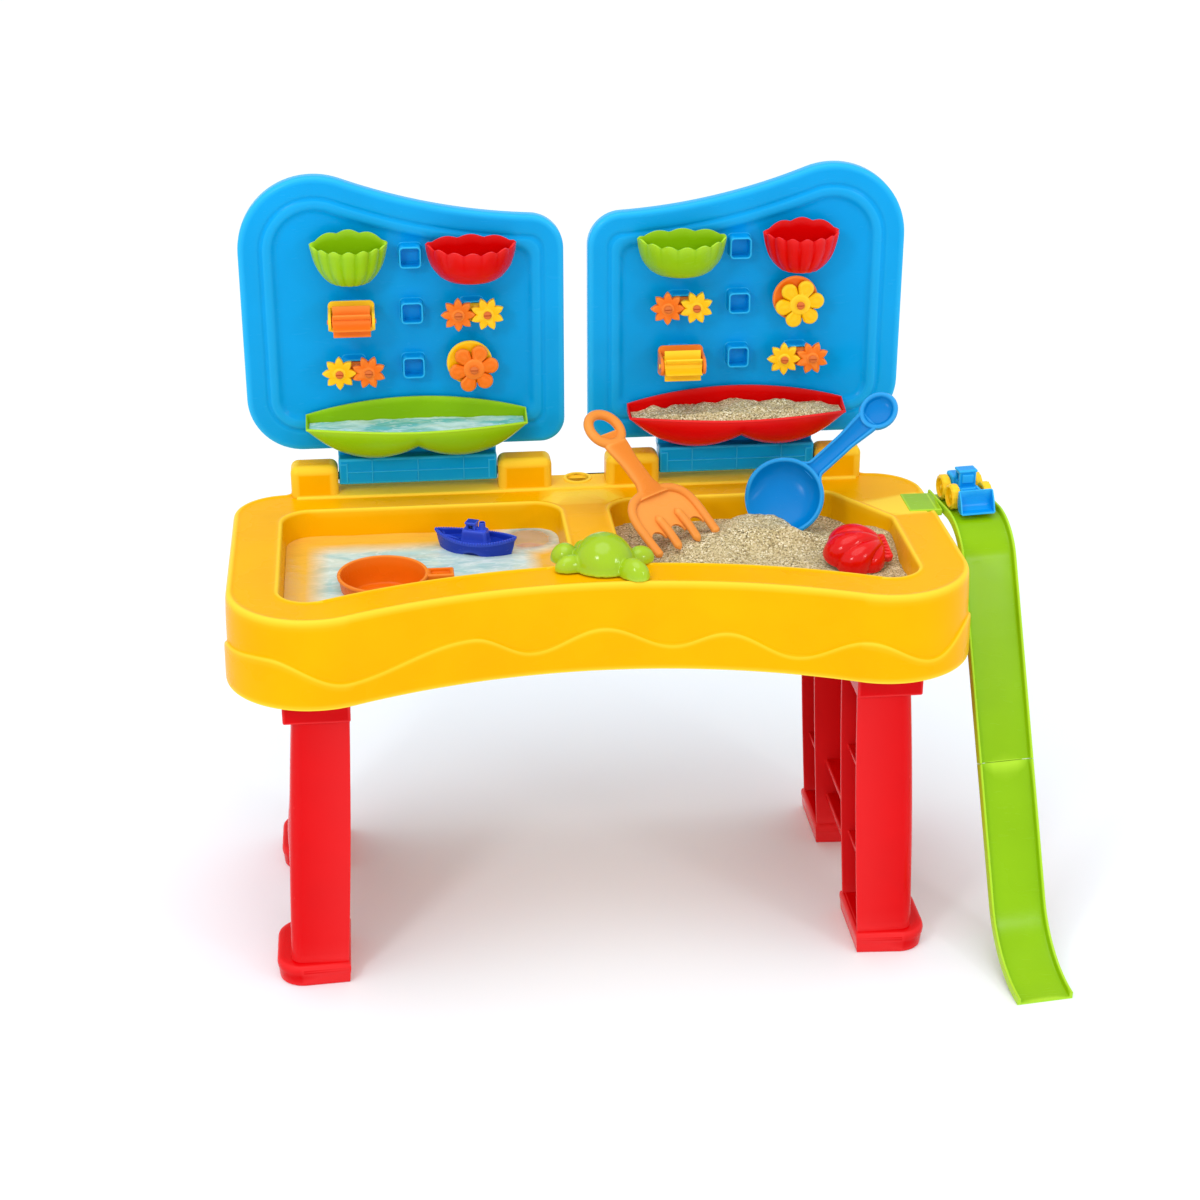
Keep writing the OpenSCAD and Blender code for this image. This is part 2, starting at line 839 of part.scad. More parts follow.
// moves children into the slide's own frame: X across, Y towards the toe, Z up
module on_slide() {
    translate([slide_x, slide_back_y, 0]) rotate([0, 0, slide_turn]) mirror([0, 1, 0])
        children();
}

// side profile of the slide's floor as a band of height h above its top face
module slide_profile(h, t) {
    bend = [slide_flat, slide_z - bend_r];
    toe = [run_s + toe_r * sin(slide_angle), toe_z + toe_r * cos(slide_angle)];
    steps = 12;
    function top_path(d) = concat([[0, slide_z + d], [slide_flat, slide_z + d]],
        [for (k = [1 : steps]) bend + (bend_r + d)
            * [sin(slide_angle * k / steps), cos(slide_angle * k / steps)]],
        [for (k = [0 : steps]) toe - (toe_r - d)
            * [sin(slide_angle + (toe_angle - slide_angle) * k / steps),
               cos(slide_angle + (toe_angle - slide_angle) * k / steps)]]);
    outer = top_path(h);
    under = top_path(-t);
    polygon(concat(outer, [for (k = [len(under) - 1 : -1 : 0]) under[k]]));
}

// a strip of the slide between x0 and x1
module slide_strip(x0, x1, h, t) {
    translate([x0, 0, 0]) rotate([90, 0, 90]) linear_extrude(x1 - x0) slide_profile(h, t);
}

module slide_channel() {
    slide_strip(0, slide_w, 0, slide_t);
    slide_strip(0, 3, slide_rail, slide_t);
    slide_strip(slide_w - 3, slide_w, slide_rail, slide_t);
}

module slide_upper() {
    on_table() color(toy_green) {
        on_slide() difference() {
            slide_channel();
            translate([-10, -10, -10]) cube([90, 400, seam_z + 10]);
        }
        translate([half_w - 26, 204, rim_z - 3.7]) cube([31, 45, 3.4]);
        translate([half_w + 3.6, 204, slide_z - 2]) cube([4, 45, rim_z - slide_z + 1.7]);
    }
}

module slide_lower() {
    on_table() color(toy_green) on_slide() {
        difference() {
            slide_channel();
            translate([-10, -10, seam_z]) cube([90, 400, 300]);
            translate([-10, -10, -20]) cube([90, 500, 20]);
        }
        intersection() {
            slide_strip(8, slide_w - 8, -slide_t - 0.1, slide_t + 2);
            translate([0, 0, seam_z - 14]) cube([90, 400, 28]);
        }
        intersection() {
            slide_strip(8, slide_w - 8, -slide_t / 2, slide_t + 2);
            translate([0, 0, seam_z - 14]) cube([90, 400, 8]);
        }
    }
}

// ---------------------------------------------------------------- toy loader

wheel_r = 13;
wheel_base = 27;
loader_s = 27;
axle_z = slide_z + wheel_r + 0.2;

module on_platform() {
    translate([slide_x, slide_back_y, axle_z]) rotate([0, 0, slide_turn])
        translate([slide_w / 2, -loader_s, 0]) children();
}

module loader_chassis() {
    on_table() color(lid_blue) on_platform() difference() {
        union() {
            translate([-11, -20, -4]) cube([22, 42, 10]);
            translate([-12, 4, 5]) cube([24, 18, 10]);
            for (x = [-11, 8]) translate([x, -26, 2]) cube([3, 18, 6]);
        }
        for (y = [-wheel_base / 2, wheel_base / 2])
            translate([0, y, 0]) rod_x(2 + pin_gap, -20, 20);
        translate([0, -23, 5]) rod_x(1.5 + pin_gap, -20, 20);
    }
}

module loader_cab() {
    on_table() color(lid_blue) on_platform() difference() {
        translate([-9, -8, 6]) cube([18, 12, 18]);
        translate([-6, -5, 9]) cube([12, 20, 12]);
        translate([-20, -5, 11]) cube([40, 6, 9]);
    }
}

module loader_bucket() {
    on_table() color(lid_blue) on_platform() difference() {
        union() {
            intersection() {
                translate([0, -33, 2]) rod_x(10, -18, 18);
                translate([-20, -43, -9]) cube([40, 15, 21]);
            }
            translate([-7, -30, 3]) cube([14, 7.5, 4]);
            translate([0, -23, 5]) rod_x(1.5, -12, 12);
        }
        difference() {
            translate([0, -36, 3]) rod_x(8, -16, 16);
            translate([-20, -31, -9]) cube([40, 20, 30]);
        }
        translate([-16, -60, 3]) cube([32, 29, 20]);
    }
}

module wheel_pair(y) {
    on_platform() translate([0, y, 0]) {
        rod_x(2, -20, 20);
        for (x = [-21.5, 12.5]) rod_x(wheel_r, x, x + 9);
    }
}

module loader_front_wheels() {
    on_table() color(tray_yellow) wheel_pair(-wheel_base / 2);
}

module loader_rear_wheels() {
    on_table() color(tray_yellow) wheel_pair(wheel_base / 2);
}

// ---------------------------------------------------------------- loose toys

// flat tools are drawn in their own plane: X across, Y along the handle, Z out of the face
rake_at = [94.8, 164, 396];
rake_lean = 36.8;
rake_turn = 33.9;
rake_roll = 4;
shovel_at = [169.8, 213.9, 395.5];
shovel_lean = 36.4;
shovel_turn = -72.1;
shovel_roll = 45;
bowl_r = 39;
shovel_len = 168;

module rake() {
    on_table() color(rake_orange) translate(rake_at) rotate([0, 0, rake_turn])
        rotate([rake_lean, 0, 0]) rotate([0, 0, rake_roll]) {
            for (x = [-39, -13, 13, 39]) translate([x - 4.5, 0, 0]) cube([9, 22, 7]);
            difference() {
                translate([0, 20, 0]) linear_extrude(7) union() {
                    translate([-43.5, 0]) square([87, 30]);
                    translate([-25, 28]) square([50, 24]);
                    for (x = [-25, 25]) translate([x, 30]) circle(r = 18.5);
                }
                translate([-35, 17, 3]) cube([70, 38, 5]);
            }
            translate([-12, 68, 0]) cube([24, 64, 9]);
            translate([0, 150, 0]) difference() {
                cylinder(r = 22, h = 10);
                translate([0, 0, -1]) cylinder(r = 12, h = 12);
            }
        }
}

module shovel() {
    on_table() color(lid_blue) translate(shovel_at) rotate([0, 0, shovel_turn])
        rotate([shovel_lean, 0, 0]) rotate([0, shovel_roll, 0]) difference() {
            union() {
                linear_extrude(18) union() {
                    translate([0, bowl_r]) circle(r = bowl_r);
                    translate([-22, 2 * bowl_r - 9]) square([44, 11]);
                }
                translate([-11, 2 * bowl_r - 4, 4]) cube([22, shovel_len - 2 * bowl_r - 12, 10]);
                translate([0, shovel_len, 4]) cylinder(r = 21, h = 10);
            }
            translate([0, bowl_r, 3]) cylinder(r = bowl_r - 3, h = 20);
            translate([-45, -1, 6]) cube([90, 16, 20]);
            translate([0, shovel_len, 8]) cylinder(r = 14, h = 10);
        }
}

shell_at = [254, 136, 394.6];
shell_lean = 22;

module shell_mould() {
    on_table() color(leg_red) translate(shell_at) rotate([shell_lean, 0, 8])
        difference() {
            union() {
                intersection() {
                    translate([0, 0, -4]) sphere(r = 31);
                    translate([-40, -40, 0]) cube([80, 80, 60]);
                }
                translate([22, -17, 0]) cube([13, 34, 9]);
            }
            intersection() {
                translate([0, 0, -4]) sphere(r = 29);
                translate([-40, -40, -1]) cube([80, 80, 60]);
            }
        }
}

module turtle_mould() {
    on_table() color(toy_green) translate([4, 98, rim_z + 0.3]) rotate([0, 0, -18]) {
        difference() {
            intersection() {
                union() {
                    translate([0, 0, 2]) sphere(r = 31.5);
                    translate([-40, 4, 6]) sphere(r = 13);
                    for (p = [[-24, -20], [-22, 22], [32, -18], [30, 18]])
                        translate([p[0], p[1], 0]) sphere(r = 14);
                }
                translate([-80, -60, 0]) cube([160, 120, 60]);
            }
            intersection() {
                translate([0, 0, 2]) sphere(r = 29.5);
                translate([-80, -60, -1]) cube([160, 120, 60]);
            }
        }
    }
}

module hull_plan(g) {
    intersection() {
        translate([0, 42 - g]) circle(r = 60 - 2 * g);
        translate([0, -42 + g]) circle(r = 60 - 2 * g);
    }
}

// height of the floating boat's keel over the basin floor
boat_float = 8.4;

module boat() {
    on_table() color(boat_blue) translate([-112, 212, basin_z + boat_float])
        rotate([0, 0, -22]) {
        difference() {
            linear_extrude(24) hull_plan(0);
            translate([0, 0, 18]) linear_extrude(7) hull_plan(1.2);
            translate([0, -30, -8]) rotate([-90, 0, 0]) cylinder(r = 15, h = 60);
        }
        translate([-11, -7, 17]) cube([24, 14, 14]);
        for (x = [-4, 6]) translate([x, 0, 30]) cylinder(r = 3.4, h = 9);
    }
}

cup_x = -205;
cup_y = 131;
cup_r = 44;
cup_h = 31;

module cup() {
    on_table() color(toy_orange) translate([cup_x, cup_y, basin_z + 0.4]) {
        difference() {
            union() {
                cylinder(r1 = cup_r - 6, r2 = cup_r - 1, h = cup_h);
                translate([0, 0, cup_h - 4]) cylinder(r = cup_r, h = 4);
                translate([cup_r - 4, -9, cup_h - 9]) cube([30, 18, 9]);
            }
            translate([0, 0, 2.5]) cylinder(r1 = cup_r - 8.5, r2 = cup_r - 3.5, h = cup_h);
            translate([cup_r + 2, -6, cup_h - 10]) cube([21, 12, 7]);
        }
    }
}

// ---------------------------------------------------------------- fills

water_z = rim_z - 27;

module water() {
    on_table() color(water_colour) difference() {
        translate([0, 0, basin_z + 0.2]) linear_extrude(water_z - basin_z)
            side(-1) basin_plan(-0.4);
        translate([cup_x, cup_y, basin_z - 1]) cylinder(r = cup_r + 3, h = 40);
        translate([cup_x + 20, cup_y - 14, basin_z - 1]) cube([56, 28, 40]);
        translate([-112, 212, basin_z - 1]) rotate([0, 0, -22]) translate([-46, -22, 0])
            cube([92, 44, 40]);
        translate([plug_x, plug_y, basin_z - 1]) cylinder(r = 23, h = 40);
    }
}

module sand() {
    on_table() color(sand_colour) translate([0, 0, basin_z + 0.2])
        linear_extrude(14) basin_plan(-0.4, true);
}

tray();
tray_skirt();
basin_left();
basin_right();
leg_sockets();
hinge_blocks();
parasol_tube();
drain_plug();
leg_frame_left();
leg_frame_right();
lid_left();
lid_right();
hinge_pins_left();
hinge_pins_right();
trough_left();
trough_right();
trough_water();
trough_sand();
funnel_left_outer();
funnel_left_inner();
funnel_right_inner();
funnel_right_outer();
gear_bar_a();
gear_bar_b();
gear_bar_c();
gear_bar_d();
gear_a1();
gear_a2();
gear_b1();
gear_b2();
gear_c1();
gear_c2();
gear_d1();
gear_d2();
flower_disc_left();
flower_disc_right();
flower_wheel_left();
flower_wheel_right();
paddle_bracket_left();
paddle_bracket_right();
paddle_wheel_left();
paddle_wheel_right();
pin_caps_left();
pin_caps_right();
slide_upper();
slide_lower();
loader_chassis();
loader_cab();
loader_bucket();
loader_front_wheels();
loader_rear_wheels();
rake();
shovel();
shell_mould();
turtle_mould();
boat();
cup();
water();
sand();
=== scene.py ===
from math import (acos, asin, atan2, copysign, cos, exp, hypot, pi, radians as rad, sin,
                  sqrt, tan)

import bmesh
import bpy
import numpy as np
from mathutils import Matrix, Vector, noise


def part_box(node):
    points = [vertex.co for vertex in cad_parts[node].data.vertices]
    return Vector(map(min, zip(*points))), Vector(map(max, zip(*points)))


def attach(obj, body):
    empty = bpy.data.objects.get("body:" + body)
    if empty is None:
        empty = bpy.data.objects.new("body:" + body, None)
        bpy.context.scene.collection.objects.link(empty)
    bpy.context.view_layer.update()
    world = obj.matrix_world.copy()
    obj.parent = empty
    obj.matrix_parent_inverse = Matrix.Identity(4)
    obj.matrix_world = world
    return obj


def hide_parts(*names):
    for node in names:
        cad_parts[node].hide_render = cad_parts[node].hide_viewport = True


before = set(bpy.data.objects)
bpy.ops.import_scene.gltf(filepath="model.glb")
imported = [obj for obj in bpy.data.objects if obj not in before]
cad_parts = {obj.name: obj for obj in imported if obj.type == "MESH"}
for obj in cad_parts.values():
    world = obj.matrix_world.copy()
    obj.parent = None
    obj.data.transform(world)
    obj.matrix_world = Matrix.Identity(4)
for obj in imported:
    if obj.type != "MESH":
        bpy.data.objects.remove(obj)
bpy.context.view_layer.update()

# Table frame of the shapes below, in mm: X from the tray's middle, Y back from its front-most
# edge, Z up from the floor. TABLE carries it to the row frame, in metres.
FLARE = 6  # by which the skirt's foot stands out
skirt_lo, skirt_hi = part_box("tray_skirt")
TABLE = Matrix.Translation(((skirt_lo.x + skirt_hi.x) / 2, skirt_lo.y + FLARE / 1000, 0)) \
    @ Matrix.Scale(0.001, 4)
STAND = Matrix.Rotation(rad(90), 4, "X")  # local (x, y, z) to table (x, -z, y)
ROOT = "root"
PLUG = (-58, 236)  # the drain, in the left basin


def move(x=0.0, y=0.0, z=0.0):
    return Matrix.Translation((x, y, z))


def turn(axis, degrees):
    return Matrix.Rotation(rad(degrees), 4, axis)


def facing(x, y, z):
    """Place whose local z looks to the front."""
    return move(x, y, z) @ STAND


MIRROR = Matrix.Scale(-1, 4, (1, 0, 0))
SIDES = (("left", MIRROR), ("right", Matrix()))  # pairs are drawn as the right-hand one


# ------------------------------------------------------------------ materials


def lin(r, g, b):
    """Scene-linear colour of an sRGB one, 0 to 255."""
    return [((c / 255 + 0.055) / 1.055) ** 2.4 if c > 10 else c / 3295 for c in (r, g, b)] + [1]


class Nodes:
    def __init__(self, name):
        self.mat = bpy.data.materials.new(name)
        self.mat.use_nodes = True
        self.tree = self.mat.node_tree
        self.tree.nodes.clear()
        self.place = self.add("TexCoord").outputs["Object"]

    def add(self, kind, inputs=None, **props):
        n = self.tree.nodes.new("ShaderNode" + kind)
        for key, value in props.items():
            setattr(n, key, value)
        for key, value in (inputs or {}).items():
            if isinstance(value, bpy.types.NodeSocket):
                self.tree.links.new(value, n.inputs[key])
            else:
                n.inputs[key].default_value = value
        return n

    def span(self, value, a, b, c, d):
        """value's range a to b carried to c to d."""
        return self.add("MapRange", {"Value": value, "From Min": a, "From Max": b,
                                     "To Min": c, "To Max": d}).outputs[0]

    def grain(self, place, scale, detail, distortion=0.0):
        """Value of a noise texture."""
        return self.add("TexNoise", {"Vector": place, "Scale": scale, "Detail": detail,
                                     "Distortion": distortion}).outputs[0]

    def math(self, operation, a, b):
        return self.add("Math", {0: a, 1: b}, operation=operation).outputs[0]

    def bump(self, height, strength, distance):
        return self.add("Bump", {"Height": height, "Strength": strength,
                                 "Distance": distance}).outputs[0]

    def mix(self, factor, a, b):
        m = self.add("Mix", data_type="RGBA")
        for k, v in ((0, factor), (6, a), (7, b)):
            if isinstance(v, bpy.types.NodeSocket):
                self.tree.links.new(v, m.inputs[k])
            else:
                m.inputs[k].default_value = v
        return m.outputs[2]

    def finish(self, inputs):
        shader = self.add("BsdfPrincipled", inputs)
        self.add("OutputMaterial", {"Surface": shader.outputs[0]})
        return self.mat


def shade(colour, k):
    return [min(1.0, c * k) for c in colour[:3]] + [1]


def plastic(name, rgb, rough=0.3, gloss=0.14, edge_highlight=0.8, highlight_whiten=0.5):
    """Moulded plastic: cloudy pigment, convex edges lightened by a painted highlight, fine mould
    grain and faint scuffs.
    """
    n = Nodes(name)
    base = lin(*rgb)
    cloud = n.grain(n.place, 14.0, 3.0)
    fine = n.grain(n.place, 1500.0, 2.0)
    along = n.add("Mapping", {"Vector": n.place, "Scale": (60.0, 420.0, 220.0),
                              "Rotation": (0.4, 0.9, 0.5)}).outputs[0]
    scuff = n.grain(along, 1.0, 5.0)
    # painted highlight: convex edges, found by pointiness, are mixed towards a paler tint
    ridge = n.add("NewGeometry").outputs["Pointiness"]
    edge = n.span(ridge, 0.506, 0.545, 0.0, edge_highlight)
    colour = n.mix(n.span(cloud, 0.3, 0.7, 0.0, 1.0), shade(base, 0.95), shade(base, 1.04))
    most = max(base[:3])
    pale = [c + highlight_whiten * (1 - c) * (0.06 + 0.94 * c / most) for c in base[:3]] + [1]
    colour = n.mix(edge, colour, pale)
    worn = n.span(scuff, 0.62, 0.8, 0.0, 0.16)
    dull = n.math("ADD", n.span(cloud, 0.3, 0.7, rough - 0.04, rough + 0.04), worn)
    height = n.math("ADD", fine, n.span(n.grain(n.place, 45.0, 1.0), 0.0, 1.0, 0.0, 6.0))
    return n.finish({"Base Color": colour, "Roughness": dull, "IOR": 1.5,
                     "Normal": n.bump(height, 0.35, 0.00006), "Specular IOR Level": gloss})


def sand_material():
    """Dry mixed grains: each cell is one grain with its own tone, pale, tan or dark."""
    n = Nodes("sand_grains")
    cells = n.add("TexVoronoi", {"Vector": n.place, "Scale": 780.0})
    pick = n.add("SeparateColor", {"Color": cells.outputs["Color"]}).outputs[0]
    ramp = n.add("ValToRGB", {"Fac": pick})
    stops = ((0.0, (104, 90, 58)), (0.13, (154, 136, 94)), (0.36, (194, 178, 132)),
             (0.66, (218, 204, 164)), (0.9, (244, 236, 208)))
    ramp.color_ramp.interpolation = "CONSTANT"
    for k, (at, rgb) in enumerate(stops):
        stop = ramp.color_ramp.elements[k] if k < 2 else ramp.color_ramp.elements.new(at)
        stop.position, stop.color = at, lin(*rgb)
    patch = n.grain(n.place, 60.0, 4.0)
    colour = n.mix(n.span(patch, 0.35, 0.7, 0.0, 0.45), ramp.outputs[0], lin(200, 183, 138))
    rise = n.math("ADD", cells.outputs["Distance"], n.span(patch, 0, 1, 0, 1))
    return n.finish({"Base Color": colour, "Roughness": n.span(pick, 0, 1, 0.95, 0.75),
                     "Normal": n.bump(rise, 0.7, 0.0007), "IOR": 1.4})


def water_material(name, deep, pale, alpha, shores=()):
    """Shallow water: pale lines of painted reflection over a cool tint, clear over the drain's
    stopper, with a faint emission that paints a glow into it. The yellow basin tints it at its
    shores, each (axis, place of the edge, place of full depth) in the table frame."""
    n = Nodes(name)
    stretch = n.add("Mapping", {"Vector": n.place, "Scale": (1.0, 2.4, 1.0)}).outputs[0]
    drift = n.grain(stretch, 16.0, 3.0, 1.2)
    lines = n.grain(stretch, 34.0, 2.0, 2.5)
    colour = n.mix(n.span(drift, 0.35, 0.65, 0.0, 1.0), lin(*deep), lin(*pale))
    # pale lines mixed in towards white: a painted reflection on the water
    reflection_streak = n.math("MULTIPLY", n.span(lines, 0.5, 0.62, 0.0, 1.0),
                    n.span(lines, 0.62, 0.72, 1.0, 0.0))
    colour = n.mix(n.span(reflection_streak, 0, 1, 0, 0.5), colour, lin(240, 248, 246))
    away = n.add("VectorMath", {0: n.place, 1: TABLE @ Vector((*PLUG, 372))}, operation="DISTANCE")
    clear = n.span(away.outputs["Value"], 0.022, 0.032, 0.3, alpha)
    axes = n.add("SeparateXYZ", {0: n.place})
    depth = 1.0
    for axis, shore, deep_at in shores:
        a, b = ((TABLE @ Vector([at if k == axis else 0 for k in range(3)]))[axis]
                for at in (shore, deep_at))
        depth = n.math("MULTIPLY", depth, n.span(axes.outputs[axis], a, b, 0.0, 1.0))
    if shores:
        ring = n.span(away.outputs["Value"], 0.028, 0.045, 1.0, 0.0)
        depth = n.math("MAXIMUM", depth, ring)
        colour = n.mix(depth, lin(244, 184, 30), colour)
    # the faint emission is a painted glow that lightens the water and the floor seen through it
    return n.finish({"Base Color": colour, "Roughness": n.span(drift, 0, 1, 0.04, 0.12),
                     "Normal": n.bump(lines, 0.25, 0.002), "IOR": 1.33, "Alpha": clear,
                     "Emission Color": lin(190, 222, 220), "Emission Strength": 0.05})


FINISH = {
    "tray_yellow": plastic("tray_yellow", (243, 176, 0), 0.28, 0.04, 1.0, 0.75),
    "lid_blue": plastic("lid_blue", (0, 157, 227), 0.23, 0.1),
    "leg_red": plastic("leg_red", (216, 0, 6), 0.16, 0.07),
    "toy_green": plastic("toy_green", (138, 188, 6), 0.25, 0.16),
    "toy_red": plastic("toy_red", (216, 2, 2), 0.2, 0.08),
    "toy_orange": plastic("toy_orange", (230, 110, 10), 0.28),
    "rake_orange": plastic("rake_orange", (228, 130, 44), 0.28, 0.14),
    "gear_yellow": plastic("gear_yellow", (254, 190, 0), 0.3),
    "gear_orange": plastic("gear_orange", (240, 112, 12), 0.3),
    "boat_blue": plastic("boat_blue", (22, 52, 170), 0.24, 0.25),
    "loader_blue": plastic("loader_blue", (0, 150, 230), 0.26, 0.14),
    "mould_red": plastic("mould_red", (218, 2, 2), 0.16, 0.3),
    "shovel_blue": plastic("shovel_blue", (0, 122, 198), 0.2, 0.12),
    "mould_green": plastic("mould_green", (154, 190, 20), 0.15, 0.4),
    "wheel_yellow": plastic("wheel_yellow", (254, 192, 4), 0.33),
    "cap_orange": plastic("cap_orange", (190, 84, 20), 0.4),
    "sand": sand_material(),
    "water": water_material("water", (168, 208, 208), (220, 234, 224), 0.9,
                            ((0, -280, -256), (0, -48, -66), (1, 240, 214))),
    "trough_water": water_material("trough_water", (96, 190, 196), (206, 236, 234), 0.92),
}
SLOTS = {"trough_water": "water", "shovel_blue": "loader_blue", "mould_green": "toy_green",
         "mould_red": "leg_red"}  # finishes that share another's slot


# ------------------------------------------------------------------ shape helpers


def loft(rings, closed=True, cap0=False, cap1=False):
    """Faces between rings of equal length, in mm."""
    n = len(rings[0])
    verts = [tuple(p) for ring in rings for p in ring]
    faces = []
    for i in range(len(rings) - 1):
        for j in range(n if closed else n - 1):
            k = (j + 1) % n
            faces.append((i * n + j, i * n + k, (i + 1) * n + k, (i + 1) * n + j))
    if cap0:
        faces.append(tuple(reversed(range(n))))
    if cap1:
        faces.append(tuple(range(len(verts) - n, len(verts))))
    return verts, faces


def solid(rings):
    """Body through rings, closed at both ends."""
    return loft(rings, True, True, True)


def around(n):
    """n equal angles of a full circle."""
    return [2 * pi * k / n for k in range(n)]


def flat(points, z):
    return [(p[0], p[1], z) for p in points]


def prism(points, z0, z1):
    return solid([flat(points, z0), flat(points, z1)])


def crosswise(points, x0, x1):
    """Body of outline (y, z) from x0 to x1."""
    return solid([[(x, y, z) for y, z in points] for x in (x0, x1)])


def box(x0, x1, y0, y1, z0, z1):
    return prism([(x0, y0), (x1, y0), (x1, y1), (x0, y1)], z0, z1)


def lathe(profile, n=48, closed=False):
    """profile of (r, z) turned about Z."""
    pts = list(profile) + ([profile[0]] if closed else [])
    return loft([[(r * cos(a), r * sin(a), z) for a in around(n)] for r, z in pts])


def rod(r, z0, z1, n=24):
    return lathe([(0, z0), (r, z0), (r, z1), (0, z1)], n)


def sheet(f, nu, nv, closed_u=False):
    """Grid of f(u, v) with u and v from 0 to 1."""
    rings = [[f(j / (nu if closed_u else nu - 1), i / (nv - 1)) for j in range(nu)]
             for i in range(nv)]
    return loft(rings, closed_u)


def arc(cx, cy, r, a0, a1, n):
    return [(cx + r * cos(rad(a0 + (a1 - a0) * k / n)),
             cy + r * sin(rad(a0 + (a1 - a0) * k / n))) for k in range(n + 1)]


def circle(x, y, r):
    """32 points round (x, y)."""
    return arc(x, y, r, 0, 348.75, 31)


def rounded(w, h, r):
    """Rounded rectangle about the origin."""
    pts = []
    for k, (sx, sy) in enumerate(((1, 1), (-1, 1), (-1, -1), (1, -1))):
        pts += arc(sx * (w / 2 - r), sy * (h / 2 - r), r, 90 * k, 90 * k + 90, 5)
    return pts


def belt(circles, counts):
    """Outline that wraps circles (x, y, r) counter-clockwise; r is negative where it curves in.
    Returns its points and its outward normals."""
    heading = []
    for (x, y, r), (x2, y2, r2) in zip(circles, circles[1:] + circles[:1]):
        far = hypot(x2 - x, y2 - y)
        lean = acos(max(-1.0, min(1.0, (r - r2) / far)))
        heading.append(atan2(y2 - y, x2 - x) - lean)
    points, normals = [], []
    for i, (x, y, r) in enumerate(circles):
        a0 = heading[i - 1]
        sweep = (heading[i] - a0) % (2 * pi)
        if r < 0:
            sweep -= 2 * pi
        if abs(sweep) > 2 * pi - 0.001:
            sweep = 0.0
        for k in range(counts[i] + 1):
            a = a0 + sweep * k / counts[i]
            points.append((x + r * cos(a), y + r * sin(a)))
            normals.append((cos(a), sin(a)))
    return np.array(points), np.array(normals)


def densify(points, normals, step):
    """More points wherever two neighbours are further apart than step."""
    ps, ns = [], []
    for i in range(len(points)):
        a, b = points[i], points[(i + 1) % len(points)]
        na, nb = normals[i], normals[(i + 1) % len(points)]
        parts = max(1, int(np.hypot(*(b - a)) / step))
        for k in range(parts):
            ps.append(a + (b - a) * k / parts)
            ns.append(na + (nb - na) * k / parts)
    return np.array(ps), np.array(ns)


def filled(outer, holes, z):
    """Flat triangulated region at height z."""
    bm = bmesh.new()
    for loop in [outer] + holes:
        vs = [bm.verts.new((p[0], p[1], z)) for p in loop]
        for a, b in zip(vs, vs[1:] + vs[:1]):
            bm.edges.new((a, b))
    bmesh.ops.triangle_fill(bm, use_beauty=True, edges=bm.edges[:])
    bm.verts.index_update()
    out = [tuple(v.co) for v in bm.verts], [tuple(v.index for v in f.verts) for f in bm.faces]
    bm.free()
    return out


def joined(*shapes):
    verts, faces = [], []
    for vs, fs in shapes:
        n = len(verts)
        verts += list(vs)
        faces += [tuple(i + n for i in f) for f in fs]
    return verts, faces


def placed(shape, matrix):
    return [tuple(matrix @ Vector(v)) for v in shape[0]], shape[1]


def peg(front, depth=10.5, width=17.4):
    """Square peg for a lid's socket, from depth behind its place to front before it."""
    return prism(rounded(width, width, 2.4), -depth, front)


def sweep(path, section, closed=False, scale=None):
    """section (x, y) carried along path; x lies across it and y upwards."""
    rings, n = [], len(path)
    for i, p in enumerate(path):
        a = Vector(path[i - 1]) if i or closed else Vector(p)
        b = Vector(path[(i + 1) % n]) if i < n - 1 or closed else Vector(p)
        ahead = (b - a).normalized()
        across = ahead.cross(Vector((0, 0, 1))).normalized()
        over = across.cross(ahead)
        k = scale[i] if scale else 1.0
        rings.append([Vector(p) + across * x * k + over * y * k for x, y in section])
    if closed:
        rings.append(rings[0])
    return loft(rings, True, not closed, not closed)


def round_section(rx, ry, n=14):
    return [(rx * cos(a), ry * sin(a)) for a in around(n)]


def smooth_step(t):
    t = max(0.0, min(1.0, t))
    return t * t * (3 - 2 * t)


def linked(name, data):
    """New object in the scene."""
    o = bpy.data.objects.new(name, data)
    bpy.context.scene.collection.objects.link(o)
    return o


def mesh_of(name, shape):
    me = bpy.data.meshes.new(name)
    me.from_pydata([tuple(v) for v in shape[0]], [], [tuple(f) for f in shape[1]])
    return me


